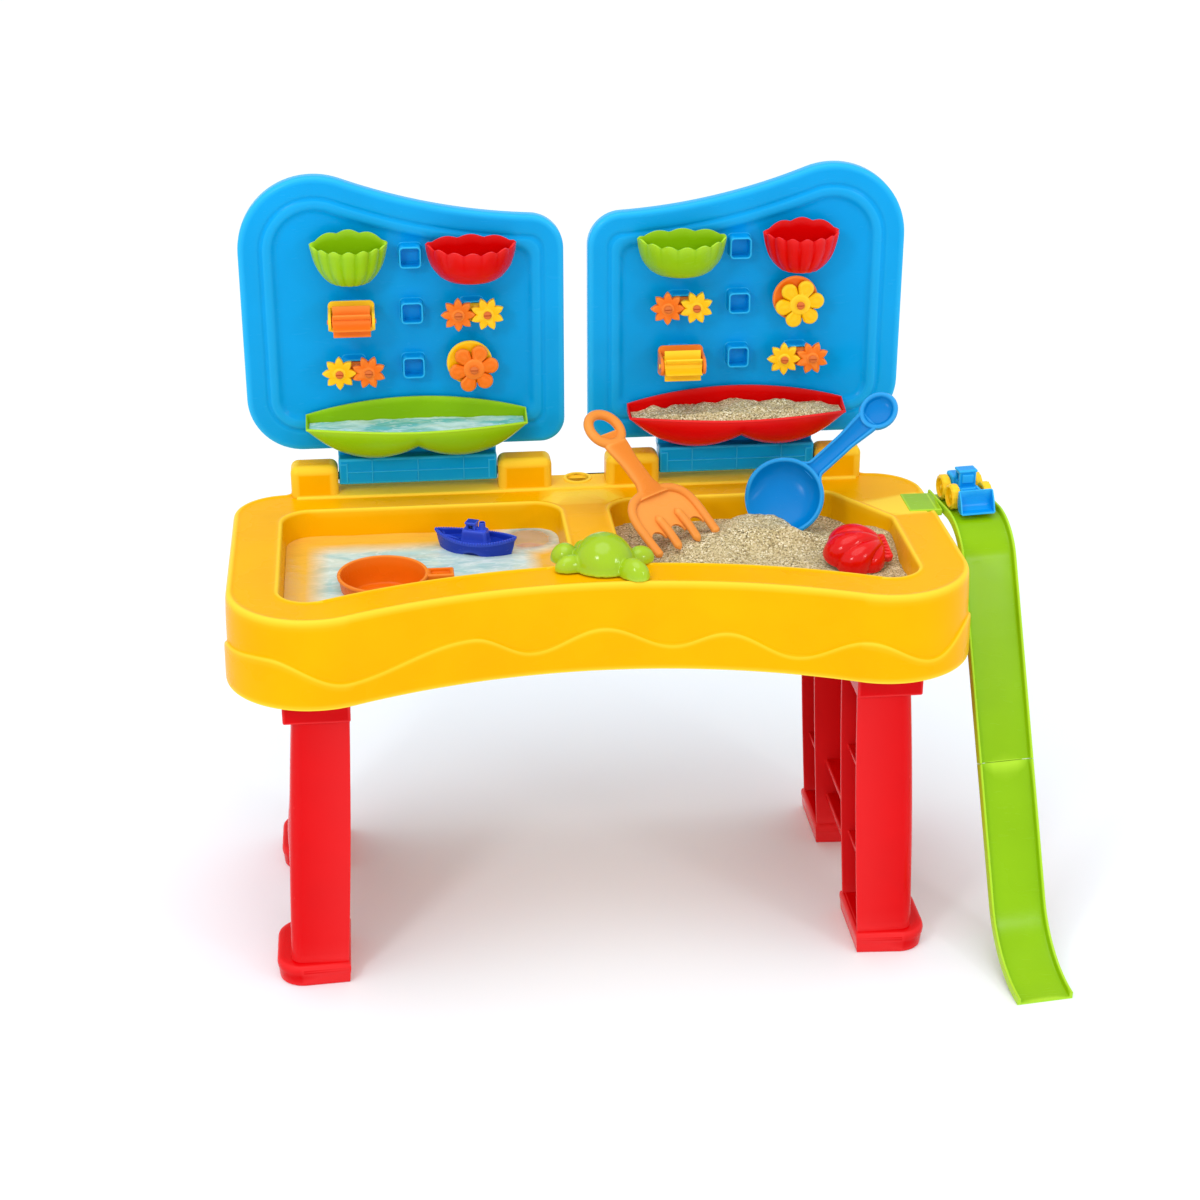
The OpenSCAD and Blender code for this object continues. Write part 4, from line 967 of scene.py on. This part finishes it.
for side, col, row, fork_finish, wheel_finish in (
        ("left", -OUTER, MID_ROW, "gear_yellow", "gear_orange"),
        ("right", INNER, LOW_ROW, "gear_orange", "gear_yellow")):
    fork = Piece(f"paddle_fork_{side}", f"lid_{side}", fork_finish, f"paddle_bracket_{side}")
    m = facing(col, MOUTH, row)
    fork.add(peg(1), m, bevel=0.6)
    fork.add(prism(rounded(46, 32, 5), 0.4, 3.3), m, bevel=0.9)
    axle = move(0, 0, 20) @ turn("Y", 90)
    for x in (-23, 20):
        cheek = arc(20, 0, 9, -90, 90, 14) + [(1, 10.5), (1, -10.5)]
        fork.add(crosswise([(y, z) for z, y in cheek], x, x + 3), m, bevel=0.8,
                 cut=placed(rod(BORE_R, -40, 40), axle))
    fork.done()
    name = f"paddle_wheel_{side}"
    wheel = Piece(f"paddle_{side}_blades", name, wheel_finish, name)
    hub = m @ axle
    wheel.add(lathe([(0, -24), (2.1, -24), (2.5, -23.6), (2.5, 23.6), (2.1, 24), (0, 24)], 24), hub)
    wheel.add(lathe([(0, -19.5), (5.4, -19.5), (6, -19), (6, 19), (5.4, 19.5), (0, 19.5)], 32), hub)
    for k in range(6):
        blade = []
        for i in range(7):
            t = i / 6
            r = 4.5 + 11 * t
            bend = 2.2 * sin(pi * t * 0.8)
            blade.append([(r, bend - 0.9, -18.4), (r, bend + 0.9, -18.4),
                          (r, bend + 0.9, 18.4), (r, bend - 0.9, 18.4)])
        wheel.add(solid(blade), hub @ turn("Z", 60 * k + 15), bevel=0.5)
    wheel.done(crease=45)

# places of the pins: two on a gear bar, a single one on a flower disc
for side, spots in (
        ("left", ((-OUTER, LOW_ROW, 0), (-INNER, MID_ROW, 0), (-INNER, LOW_ROW, 1))),
        ("right", ((INNER, MID_ROW, 0), (OUTER, LOW_ROW, 0), (OUTER, MID_ROW, 1)))):
    caps = Piece(f"screw_caps_{side}", f"lid_{side}", "cap_orange", f"pin_caps_{side}")
    for col, row, single in spots:
        for x in ((0,) if single else (-HALF_PITCH, HALF_PITCH)):
            z0 = 12.5 if single else MOUTH - GEAR_Y + 1.5
            slit = box(-5, 5, -0.55, 0.55, z0 + 0.8, z0 + 4)
            caps.add(lathe([(0, z0), (3.4, z0), (4, z0 + 0.4), (4, z0 + 1.2), (3.2, z0 + 1.9),
                            (0, z0 + 2)], 28), facing(col + x, MOUTH, row), cut=slit)
    caps.done(crease=50)

# ------------------------------------------------------------------ slide

SLIDE_AT, SLIDE_TURN = (354.5, 255), 6.3
SLIDE = move(*SLIDE_AT) @ turn("Z", SLIDE_TURN) @ Matrix.Scale(-1, 4, (0, 1, 0))
# radii of the bend and the toe, slopes in degrees, height and width of the run
BEND, TOE, SLOPE, TOE_END, SLIDE_Z, SLIDE_W = 53, 100, 65.8, 3, 405, 57
SIN, COS = sin(rad(SLOPE)), cos(rad(SLOPE))
TOE_Z = TOE * (cos(rad(TOE_END)) - COS) + 2.4 * cos(rad(TOE_END))
BEND_S = 54 + BEND * SIN
BEND_Z = SLIDE_Z - BEND * (1 - COS)
RUN_S = BEND_S + (BEND_Z - TOE_Z) / tan(rad(SLOPE))


def slide_path():
    """(s, z, slope) along the slide's top face: deck, bend, run and toe."""
    path = [(54 * k / 8, SLIDE_Z, 0.0) for k in range(9)]
    for k in range(1, 25):
        a = SLOPE * k / 24
        path.append((54 + BEND * sin(rad(a)), SLIDE_Z - BEND * (1 - cos(rad(a))), a))
    path += [(BEND_S + (RUN_S - BEND_S) * k / 24, BEND_Z + (TOE_Z - BEND_Z) * k / 24, SLOPE)
             for k in range(1, 24)]
    for k in range(0, 25):
        a = SLOPE + (TOE_END - SLOPE) * k / 24
        path.append((RUN_S + TOE * (SIN - sin(rad(a))), TOE_Z - TOE * (cos(rad(a)) - COS), a))
    return path


def channel():
    """Section across the slide: (x, height over the floor)."""
    wall = [(0, 4.6), (0.5, 5.6), (1.4, 6), (2.4, 5.7), (3, 4.8), (3.3, 1.8), (4.2, 0.5), (6, 0)]
    far_wall = [(SLIDE_W - x, h) for x, h in reversed(wall)]
    low = -2.4
    return [(0, low), *wall, (16, 0), (28.5, 0), (41, 0), *far_wall, (SLIDE_W, low),
            (SLIDE_W - 3, low), (28.5, low), (3, low)]


def slide_part(stations):
    """Run of the slide through (s, z, slope)."""
    return solid([[(x, s + h * sin(rad(a)), z + h * cos(rad(a))) for x, h in channel()]
                  for s, z, a in stations])


path = slide_path()
SEAM = 190  # height at which the two sections meet
upper = [p for p in path if p[1] > SEAM + 1]
lower = [p for p in path if p[1] < SEAM - 1]
cut_s = BEND_S + (BEND_Z - SEAM) / tan(rad(SLOPE))
top = Piece("slide_top_run", "slide", "toy_green", "slide_upper")
top.add(slide_part(upper + [(cut_s - 0.1, SEAM + 0.25, SLOPE)]), SLIDE)
top.add(box(324, 352, 204, 249, 406.3, 409.9), bevel=1, steps=3)
top.add(box(350.6, 357.5, 204, 249, 402.8, 409.9), bevel=1, steps=3)
top.add(box(3, 54, 8, 10.2, 401, 402.8), SLIDE)
top.done()
end = Piece("slide_toe_run", "slide", "toy_green", "slide_lower")
end.add(slide_part([(cut_s + 0.1, SEAM - 0.25, SLOPE)] + lower), SLIDE)
tongue = [(s, z, SLOPE) for s, z in ((cut_s - 6, SEAM + 13.3), (cut_s + 6, SEAM - 13.3))]
rows = [[(x, s - h * sin(rad(a)), z - h * cos(rad(a)))
         for x, h in ((9, 2.6), (48, 2.6), (48, 4.4), (9, 4.4))] for s, z, a in tongue]
end.add(solid(rows), SLIDE, bevel=0.6)
end.done()

# ------------------------------------------------------------------ toy loader

ON_DECK = move(*SLIDE_AT, 418.2) @ turn("Z", SLIDE_TURN) @ move(28.5, -27)
AXLE_Y = 13.5  # from the loader's middle to each axle
loader = Piece("loader_body", "loader", "loader_blue", "loader_chassis", at=ON_DECK)
loader.add(box(-10.5, 10.5, -20, 22, -4, 5.5), bevel=1.8, steps=3)
loader.add(box(-12, 12, 4, 22, 4, 15), bevel=2.4, steps=4)
loader.add(box(-11.4, 11.4, -12, 6, 3, 7), bevel=1.2, steps=3)
for x in (-11, 8):
    loader.add(box(x, x + 3, -26, -8, 2, 8), bevel=1, steps=3)
for z in (7.5, 10, 12.5):
    loader.add(box(-9, 9, 21.6, 22.8, z - 0.5, z + 0.5), bevel=0.3)
for y in (-AXLE_Y, AXLE_Y):
    loader.add(rod(4.4, -12, 12), ON_DECK @ move(0, y) @ turn("Y", 90))
loader.done()
cab = Piece("loader_driver_cab", "loader", "loader_blue", "loader_cab", at=ON_DECK)
cab.add(box(-9, 9, -8, 4, 5.6, 24), bevel=2, steps=4, cut=box(-30, 30, -4.4, 1.4, 12, 19.6))
cab.add(box(-6, 6, -9.2, -7, 11, 20), bevel=1, steps=3)
cab.add(box(-10, 10, -9, 5, 22, 25), bevel=1.3, steps=3)
cab.done()
bucket = Piece("loader_scoop", "loader_bucket", "loader_blue", "loader_bucket", at=ON_DECK)
curve = [(-30, 12), (-29.5, 6), (-29.6, 0), (-31.2, -5), (-34.5, -8.3), (-39, -9), (-43, -8.6)]
rows = [[(x, y, z) for y, z in curve] for x in (-17, -8.5, 0, 8.5, 17)]
bucket.add(loft(rows, False), shell=1.8, side=0, bevel=0.4)
for x in (-18, 16.4):
    bucket.add(crosswise(curve + [(-38, 4), (-33, 11.5)], x, x + 1.6), bevel=0.4)
bucket.add(box(-7, 7, -30, -22.8, 3, 7), bevel=0.9)
bucket.add(rod(1.45, -12, 12, 20), ON_DECK @ move(0, -23, 5) @ turn("Y", 90))
bucket.done()
for name, y in (("front", -AXLE_Y), ("rear", AXLE_Y)):
    pair = Piece(f"loader_{name}_tyres", f"loader_{name}_wheels", "wheel_yellow",
                 f"loader_{name}_wheels")
    axle = ON_DECK @ move(0, y) @ turn("Y", 90)
    pair.add(rod(1.95, -20, 20, 20), axle)
    for s in (-1, 1):
        face = [(0, 19.4), (2.2, 19.6), (3.2, 18.6), (6, 18.8), (8.2, 19.2), (9, 20.8),
                (10.4, 21.5), (12, 20.8), (12.8, 19.2), (12.8, 14.6), (12, 12.9), (10, 12.5),
                (8, 13.6), (0, 13.6)]
        pair.add(lathe([(r, s * z) for r, z in face], 48), axle)
        for k in range(14):
            pair.add(box(11.6, 12.95, -1.1, 1.1, s * 17 - 3.6, s * 17 + 3.6),
                     axle @ turn("Z", 360 / 14 * k), bevel=0.3)
    pair.done(crease=45)

# ------------------------------------------------------------------ water and sand in the basins

CUP, CUP_CLEAR = (-205, 131), 40.0  # the cup's middle, and the radius kept free of water
WATER_LEVEL, SAND_LEVEL, SAND_LIMIT, POOL_LOW = 382.4, 383.2, 407, 366.6


def pool(circles, shape, shrink, count):
    """Closed slab in a basin, shrink inside its outline: count rings with heights shape(x, y)."""
    points, normals = densify(*belt(circles, [16, 80, 16, 14, 16] + [14] * (len(circles) - 5)), 4)
    edge = points - normals * shrink
    mid = edge.mean(0)
    rows = []
    for i in range(count):
        t = 1 - (i / count) ** 1.15
        rows.append([(mid[0] + (p[0] - mid[0]) * t, mid[1] + (p[1] - mid[1]) * t) for p in edge])
    top_rows = [[(x, y, shape(x, y)) for x, y in row] for row in rows]
    base = [(x, y, POOL_LOW) for x, y in rows[0]]
    return joined(loft([base] + top_rows, True, False, True), ([*base], [tuple(range(len(base)))]))


def ripple(x, y):
    p = Vector((x / 38, y / 16, 0.4))
    q = Vector((x / 15, y / 7, 2.3))
    return WATER_LEVEL + 0.6 * noise.noise(p) + 0.35 * noise.noise(q)


pool_water = Piece("basin_water", ROOT, "water", "water")
pool_water.add(pool(basin_left, ripple, 2.6, 60))
bm = pool_water.bm
bmesh.ops.delete(bm, geom=[f for f in bm.faces if all(
    hypot(v.co.x - CUP[0], v.co.y - CUP[1]) < CUP_CLEAR and v.co.z > 370 for v in f.verts)],
    context="FACES")
for v in bm.verts:
    d = Vector((v.co.x - CUP[0], v.co.y - CUP[1]))
    if v.co.z > 370 and d.length < CUP_CLEAR:
        d = d.normalized() * CUP_CLEAR
        v.co.x, v.co.y = CUP[0] + d.x, CUP[1] + d.y
pool_water.done(crease=80, weighted=False)


# heaps of sand: x, y, reach in x, reach in y, height
HEAPS = ((106, 172, 44, 30, 16), (172, 206, 46, 30, 21), (160, 205, 50, 34, 7),
         (258, 172, 30, 20, 12), (196, 150, 60, 34, 4), (200, 179, 36, 10, 13),
         (288, 184, 24, 34, 13))


def sand_top(x, y):
    """Height of the lumpy sand: higher towards the back and round the tools."""
    heap = 0.0
    for hx, hy, wide, deep, high in HEAPS:
        heap = max(heap, 0.0) + high * exp(-((x - hx) / wide) ** 2 - ((y - hy) / deep) ** 2)
    rough = 2.6 * noise.noise(Vector((x / 24, y / 20, 1.2))) \
        + 1.0 * noise.noise(Vector((x / 8, y / 8, 4.2))) \
        + 0.45 * noise.noise(Vector((x / 2.6, y / 2.6, 6.2)))
    return min(SAND_LEVEL + heap, SAND_LIMIT) + rough


pool_sand = Piece("basin_sand", ROOT, "sand", "sand")
pool_sand.add(pool(basin_right, sand_top, 1.4, 92))
pool_sand.done(crease=80, weighted=False)

plug = Piece("drain_stopper", "drain_plug", "rake_orange", "drain_plug")
plug.add(lathe([(0, 366.4), (19.6, 366.4), (20.8, 367), (21, 368), (20.2, 369), (18.5, 369.3),
                (14, 368.9), (8, 369.1), (6.4, 370), (6, 373.4), (5.2, 374.3), (0, 374.3)], 56),
         move(*PLUG))
plug.add(rod(13.6, 364.4, 366.8, 48), move(*PLUG))
plug.done()

# ------------------------------------------------------------------ loose toys


def curve_through(points, n):
    """Smooth path through points (x, y, z)."""
    pts = [Vector(p) for p in points]
    pts = [2 * pts[0] - pts[1]] + pts + [2 * pts[-1] - pts[-2]]
    out = []
    for i in range(1, len(pts) - 2):
        a, b, c, d = pts[i - 1:i + 3]
        for k in range(n):
            t = k / n
            out.append(0.5 * ((2 * b) + (c - a) * t + (2 * a - 5 * b + 4 * c - d) * t * t
                              + (3 * b - a - 3 * c + d) * t ** 3))
    return out + [pts[-2]]


def tube(path, rx, ry, n=16, taper=5):
    """Round rod with rounded ends."""
    count = len(path)
    scale = [min(1.0, sin(pi / 2 * min(1.0, (min(i, count - 1 - i) + 0.35) / taper)))
             for i in range(count)]
    return sweep(path, round_section(rx, ry, n), scale=scale)


# each toy is drawn in its own frame, and the place named here puts it on the table
RAKE = move(94.8, 164, 396) @ turn("Z", 33.9) @ turn("X", 36.8) @ turn("Z", 4)
rake = Piece("rake_toy", "rake", "rake_orange", "rake", at=RAKE)
shoulder = [(-39, 1), (-39.2, 10), (-39.5, 24), (-39.2, 42), (-35.5, 55), (-27, 64), (-14, 68.4),
            (0, 69)]
shoulder += [(-x, y) for x, y in reversed(shoulder[:-1])]
rim = curve_through([(x, y, 4) for x, y in shoulder], 7)
rake.add(tube(rim, 4.6, 4.0, taper=3))
plate = [(p.x, p.y) for p in curve_through([(x, y, 0) for x, y in shoulder[2:-2]], 7)]
edge = [(g + 8.2 * cos(a), 18 + 9.5 * sin(a)) for g in (26, 0, -26)
        for a in (pi * k / 10 for k in range(11))]
rake.add(prism(plate + edge, 0.4, 3.4), bevel=0.7)
for x in (-13, 13):
    rake.add(tube([(x, 0.5 + 2 * k, 4 + 1.8 * sin(pi * k / 21)) for k in range(22)],
                  4.6, 3.9, taper=3))
grip = curve_through([(0, 63, 4.0), (0, 74, 4.6), (0, 90, 5.0), (0, 112, 5.0), (0, 131, 5.0)], 8)
wide = [1.75 - 0.8 * smooth_step(k / 13) + 0.28 * smooth_step((k - 20) / 12)
        for k in range(len(grip))]
rows = []
for p, w in zip(grip, wide):  # a flattened oval along the grip
    rows.append([(p.x + 11.4 * w * copysign(abs(cos(a)) ** 0.7, cos(a)), p.y,
                  p.z + 4.3 * copysign(abs(sin(a)) ** 0.8, sin(a))) for a in around(24)])
rake.add(solid(rows))
ring = [(17.2 * cos(a), 149.5 + 18 * sin(a), 5) for a in around(56)]
rake.add(sweep(ring, round_section(5.2, 4.8, 16), closed=True))
rake.add(prism([(-14, 144.5), (-13, 136), (-9, 130), (9, 130), (13, 136), (14, 144.5)], 3.4, 6.2),
         bevel=1)
rake.done(crease=45)

SHOVEL = move(169.8, 213.9, 395.5) @ turn("Z", -72.1) @ turn("X", 36.4) @ turn("Y", 45)
shovel = Piece("shovel_toy", "shovel", "shovel_blue", "shovel", at=SHOVEL)
BOWL_R, SHOVEL_LEN = 39, 168
rows = []
for t, z in ((0.02, 1.4), (0.2, 1.4), (0.4, 1.8), (0.55, 2.6), (0.68, 4.2), (0.78, 6.4),
             (0.86, 9.4), (0.915, 12.4), (0.95, 14.8), (0.975, 16.7), (0.99, 17.6), (1.01, 17.8),
             (1.03, 17.2), (1.045, 15.8)):
    w = (BOWL_R - 1.9) * t
    rows.append([(w * cos(a), BOWL_R + w * sin(a), 1.3 + (z - 1.3) * (
        0.08 + 0.92 * smooth_step((w * sin(a) + BOWL_R) / 34))) for a in around(72)])
shovel.add(loft(rows, True, True), shell=2.2, side=0, bevel=0.5, limit=60)
shaft = curve_through([(0, 72, 12.4), (0, 82, 11.4), (0, 98, 9.6), (0, 120, 9), (0, 156, 9)], 9)
half = [(0.4, 0.42), (0.62, 0.62), (0.72, 0.95), (0.86, 1), (0.97, 0.75), (1, 0.3)]
section = [(-x, z) for x, z in reversed(half)] + [(0, 0.36), *half] \
    + [(0.9, -0.5), (0.55, -0.95), (0, -1.05), (-0.55, -0.95), (-0.9, -0.5)]
rows = []
for i, p in enumerate(shaft):
    w = 9.6 + 8.5 * (1 - smooth_step(i / 10)) + 3.0 * smooth_step((i - 27) / 9)
    rows.append([(x * w, p.y, p.z + z * 4.6) for x, z in section])
shovel.add(solid(rows))
knob = [(0, 5), (15, 5), (19, 6), (20.8, 8.4), (20.8, 11.4), (19.8, 13.4), (18, 14), (16.2, 13.4),
        (14.6, 11.4), (13.2, 9.4), (9, 8.6), (0, 8.4)]
shovel.add(lathe(knob, 56), SHOVEL @ move(0, SHOVEL_LEN) @ Matrix.Scale(0.88, 4, (1, 0, 0)))
shovel.done(crease=45)

SHELL = move(254, 136, 394.6) @ turn("Z", 8) @ turn("X", 22)
shell = Piece("shell_toy", "shell_mould", "mould_red", "shell_mould", at=SHELL)


def scallop(u, v):
    """Fan of ribs that spread from the hinge at +X; v runs from the rim to the crown."""
    a = 2 * pi * u
    flat_r = 30.4 * cos(v * pi / 2)
    x, y = flat_r * cos(a), flat_r * sin(a)
    z = 26.2 * sin(v * pi / 2) ** 0.92
    dx, dy = 29 - x, y
    spread = atan2(dy, dx)
    far = hypot(dx, dy)
    rib = (abs(cos(spread * 5.2)) ** 0.8 - 0.66) * 4.4 * smooth_step((far - 3) / 22)
    k = 1 + rib / 31 * (1.0 if v < 0.96 else 0.6)
    return x * min(k, 1.04), y * min(k, 1.04), z * min(k, 1.05)


shell.add(sheet(scallop, 150, 46, True), shell=1.6)
hinge = [(21, -8), (24, -15.5), (30, -17), (34.5, -15.4), (34.8, 15.4), (30, 17), (24, 15.5),
         (21, 8)]
shell.add(prism(hinge, 0.3, 8.6), bevel=2.2, steps=4)
for y in (-12, -7.2, -2.4, 2.4, 7.2, 12):
    shell.add(tube([(23 + 1.2 * k, y * (0.75 + 0.03 * k), 8.0 + 0.6 * sin(k / 3)) for k in
                    range(10)], 1.3, 1.3, 10, 3))
shell.done(crease=50)

TURTLE = move(4, 98, 410.3) @ turn("Z", -18)
turtle = Piece("turtle_toy", "turtle_mould", "mould_green", "turtle_mould", at=TURTLE)


def half_ball(rx, ry, rz, low):
    """Upper half of an egg that stands on a skirt of height low."""
    rows = [[(rx * cos(b) * cos(a), ry * cos(b) * sin(a), low + rz * sin(b)) for a in around(32)]
            for b in (pi / 2 * j / 12 for j in range(12))]
    return solid([flat(rows[0], 0)] + rows)


# half sizes, height of the skirt, place and turn: shell, its rim, head and four flippers
LUMPS = ((30, 28.5, 31, 1.5, 0, 0, 0), (31.5, 30, 12, 1.0, 0, 0, 0), (14, 12.5, 16, 1.5, -39, 4, 0),
         (15, 10, 14, 1, -29, -17, 30), (14, 10, 13, 1, -23, 23, -30), (17, 12, 17, 1, 33, -19, -28),
         (15, 11, 14, 1, 31, 18, 35))
lumps = joined(*[placed(half_ball(*size), move(x, y) @ turn("Z", a)) for *size, x, y, a in LUMPS])
turtle.add(lumps, remesh=1.1, calm=7)
turtle.done(crease=80, weighted=False)

BOAT = move(-112, 212, 374.4) @ turn("Z", -22)
boat = Piece("boat_toy", "boat", "boat_blue", "boat", at=BOAT)


def lens(k):
    """The boat's plan: two arcs that meet at bow and stern."""
    half, n = acos(42 / 60), 36
    pts = []
    for s in (-1, 1):
        for i in range(n):
            a = -half + 2 * half * (i + 0.5) / n
            pts.append((-s * k * 60 * sin(a), -s * k * (60 * cos(a) - 42)))
    return pts


def hull_ring(k, z, sheer=1.0, arch=0.0):
    """The plan scaled by k at height z; sheer lifts its ends, and arch its middle."""
    out = []
    for x, y in lens(k):
        lift = 4.6 * (x / 42) ** 2 * sheer
        under = arch * max(0.0, 1 - (x / 17) ** 2)
        out.append((x, y, z + lift + under))
    return out


boat.add(solid([hull_ring(*row) for row in (
    (0.80, 0, 0, 11), (0.84, 1.2, 0.1, 10), (0.9, 8, 0.5, 4), (0.95, 14, 0.8), (0.975, 18.4, 1),
    (1.0, 19.0, 1), (1.0, 21.8, 1), (0.985, 22.6, 1), (0.93, 22.4, 1), (0.91, 21, 1),
    (0.9, 17.6, 0.5), (0.5, 17.2, 0.3))]), bevel=0.3, limit=45)
for i, p in enumerate(hull_ring(0.992, 21.6)):
    boat.add(lathe([(0, -1.5), (0.9, -1.2), (1.25, 0), (0.9, 1.2), (0, 1.5)], 8), BOAT @ move(*p))
cabin = [[(x * k + dx, y * k, z) for x, y in rounded(27, 15, 3.5)]
         for k, z, dx in ((1.12, 16, 0), (1.0, 22, 0), (0.95, 28, 0), (0.9, 30.4, 0), (0.8, 31, 0))]
boat.add(solid(cabin))
boat.add(box(-8.6, 1.6, -5.2, 5.2, 30, 37.4), bevel=1.4, steps=3,
         cut=box(-5.6, -1.4, -20, 20, 32, 35.6))
boat.add(box(-9.4, 2.2, -5.8, 5.8, 37, 38.8), bevel=0.7, steps=3)
boat.add(lathe([(0, 0), (3.6, 0), (3.1, 8.4), (2.7, 8.7), (2.2, 8.4), (2.2, 6.8), (0, 6.8)], 28),
         BOAT @ move(7.2, 0, 30.2))
boat.add(box(-2, 12, -2, 2, 30, 33), bevel=0.8)
boat.done(crease=45)

CUP_AT = move(CUP[0], CUP[1], 366.4)
cup = Piece("cup_toy", "cup", "toy_orange", "cup", at=CUP_AT)
cup.add(lathe([(0, 0), (36.5, 0), (38, 1), (39.4, 10), (42.2, 27), (42.8, 27.4), (43.6, 28.4),
               (43.8, 29.8), (43.2, 30.8), (42, 31), (40.8, 30.6), (40.2, 29.4), (38.2, 12),
               (37.2, 5.4), (35.4, 3.6), (29, 3.4), (28.4, 2.6), (27, 2.2), (0, 2.2)], 96))
cup.add(box(40.6, 68, -9, 9, 22.3, 30.6), bevel=1.5, steps=3, cut=box(46, 64, -6, 6, 26.5, 40))
cup.done(crease=45)

# ------------------------------------------------------------------ stage, light and camera


FLOOR_REACH = 800.0  # metres: its far edge shows in views from low down


def floor_material():
    n = Nodes("studio_floor")
    speck = n.grain(n.place, 3.0, 2.0)
    colour = n.mix(speck, [0.855, 0.915, 0.965, 1], [0.875, 0.935, 0.985, 1])
    return n.finish({"Base Color": colour, "Roughness": 0.9, "Specular IOR Level": 0.1})


ground = mesh_of("studio_floor", sheet(
    lambda u, v: (FLOOR_REACH * (u - 0.5), FLOOR_REACH * (v - 0.5), 0.0), 9, 9))
ground.materials.append(floor_material())
linked("studio_floor", ground)

world = bpy.data.worlds.new("studio")
bpy.context.scene.world = world
world.use_nodes = True
sky = world.node_tree.nodes["Background"]
sky.inputs["Color"].default_value = (1.0, 1.0, 1.0, 1)
sky.inputs["Strength"].default_value = 0.84


def area(name, power, size, at, aim):
    data = bpy.data.lights.new(name, "AREA")
    data.energy, data.size = power, size
    o = linked(name, data)
    o.location = at
    o.rotation_euler = (Vector(aim) - Vector(at)).to_track_quat("-Z", "Y").to_euler()


sun = bpy.data.lights.new("sky_panel", "SUN")
sun.energy, sun.angle = 1.1, rad(50)
linked("sky_panel", sun).rotation_euler = (rad(14), rad(-8), 0)
area("key", power=9, size=0.34, at=(-1.2, -1.6, 1.7), aim=(0, 0, 0.5))
area("strip", power=5, size=0.3, at=(1.4, -1.7, 1.3), aim=(0, 0, 0.4))

lens_data = bpy.data.cameras.new("camera")
lens_data.lens, lens_data.sensor_width = 68.6, 36
lens_data.clip_end = FLOOR_REACH
camera = linked("camera", lens_data)
camera.location = TABLE @ Vector((-204, -1879, 1280))
camera.rotation_euler = (rad(65.5), 0, rad(-5.9))
bpy.context.scene.camera = camera
bpy.context.scene.view_settings.view_transform = "Standard"
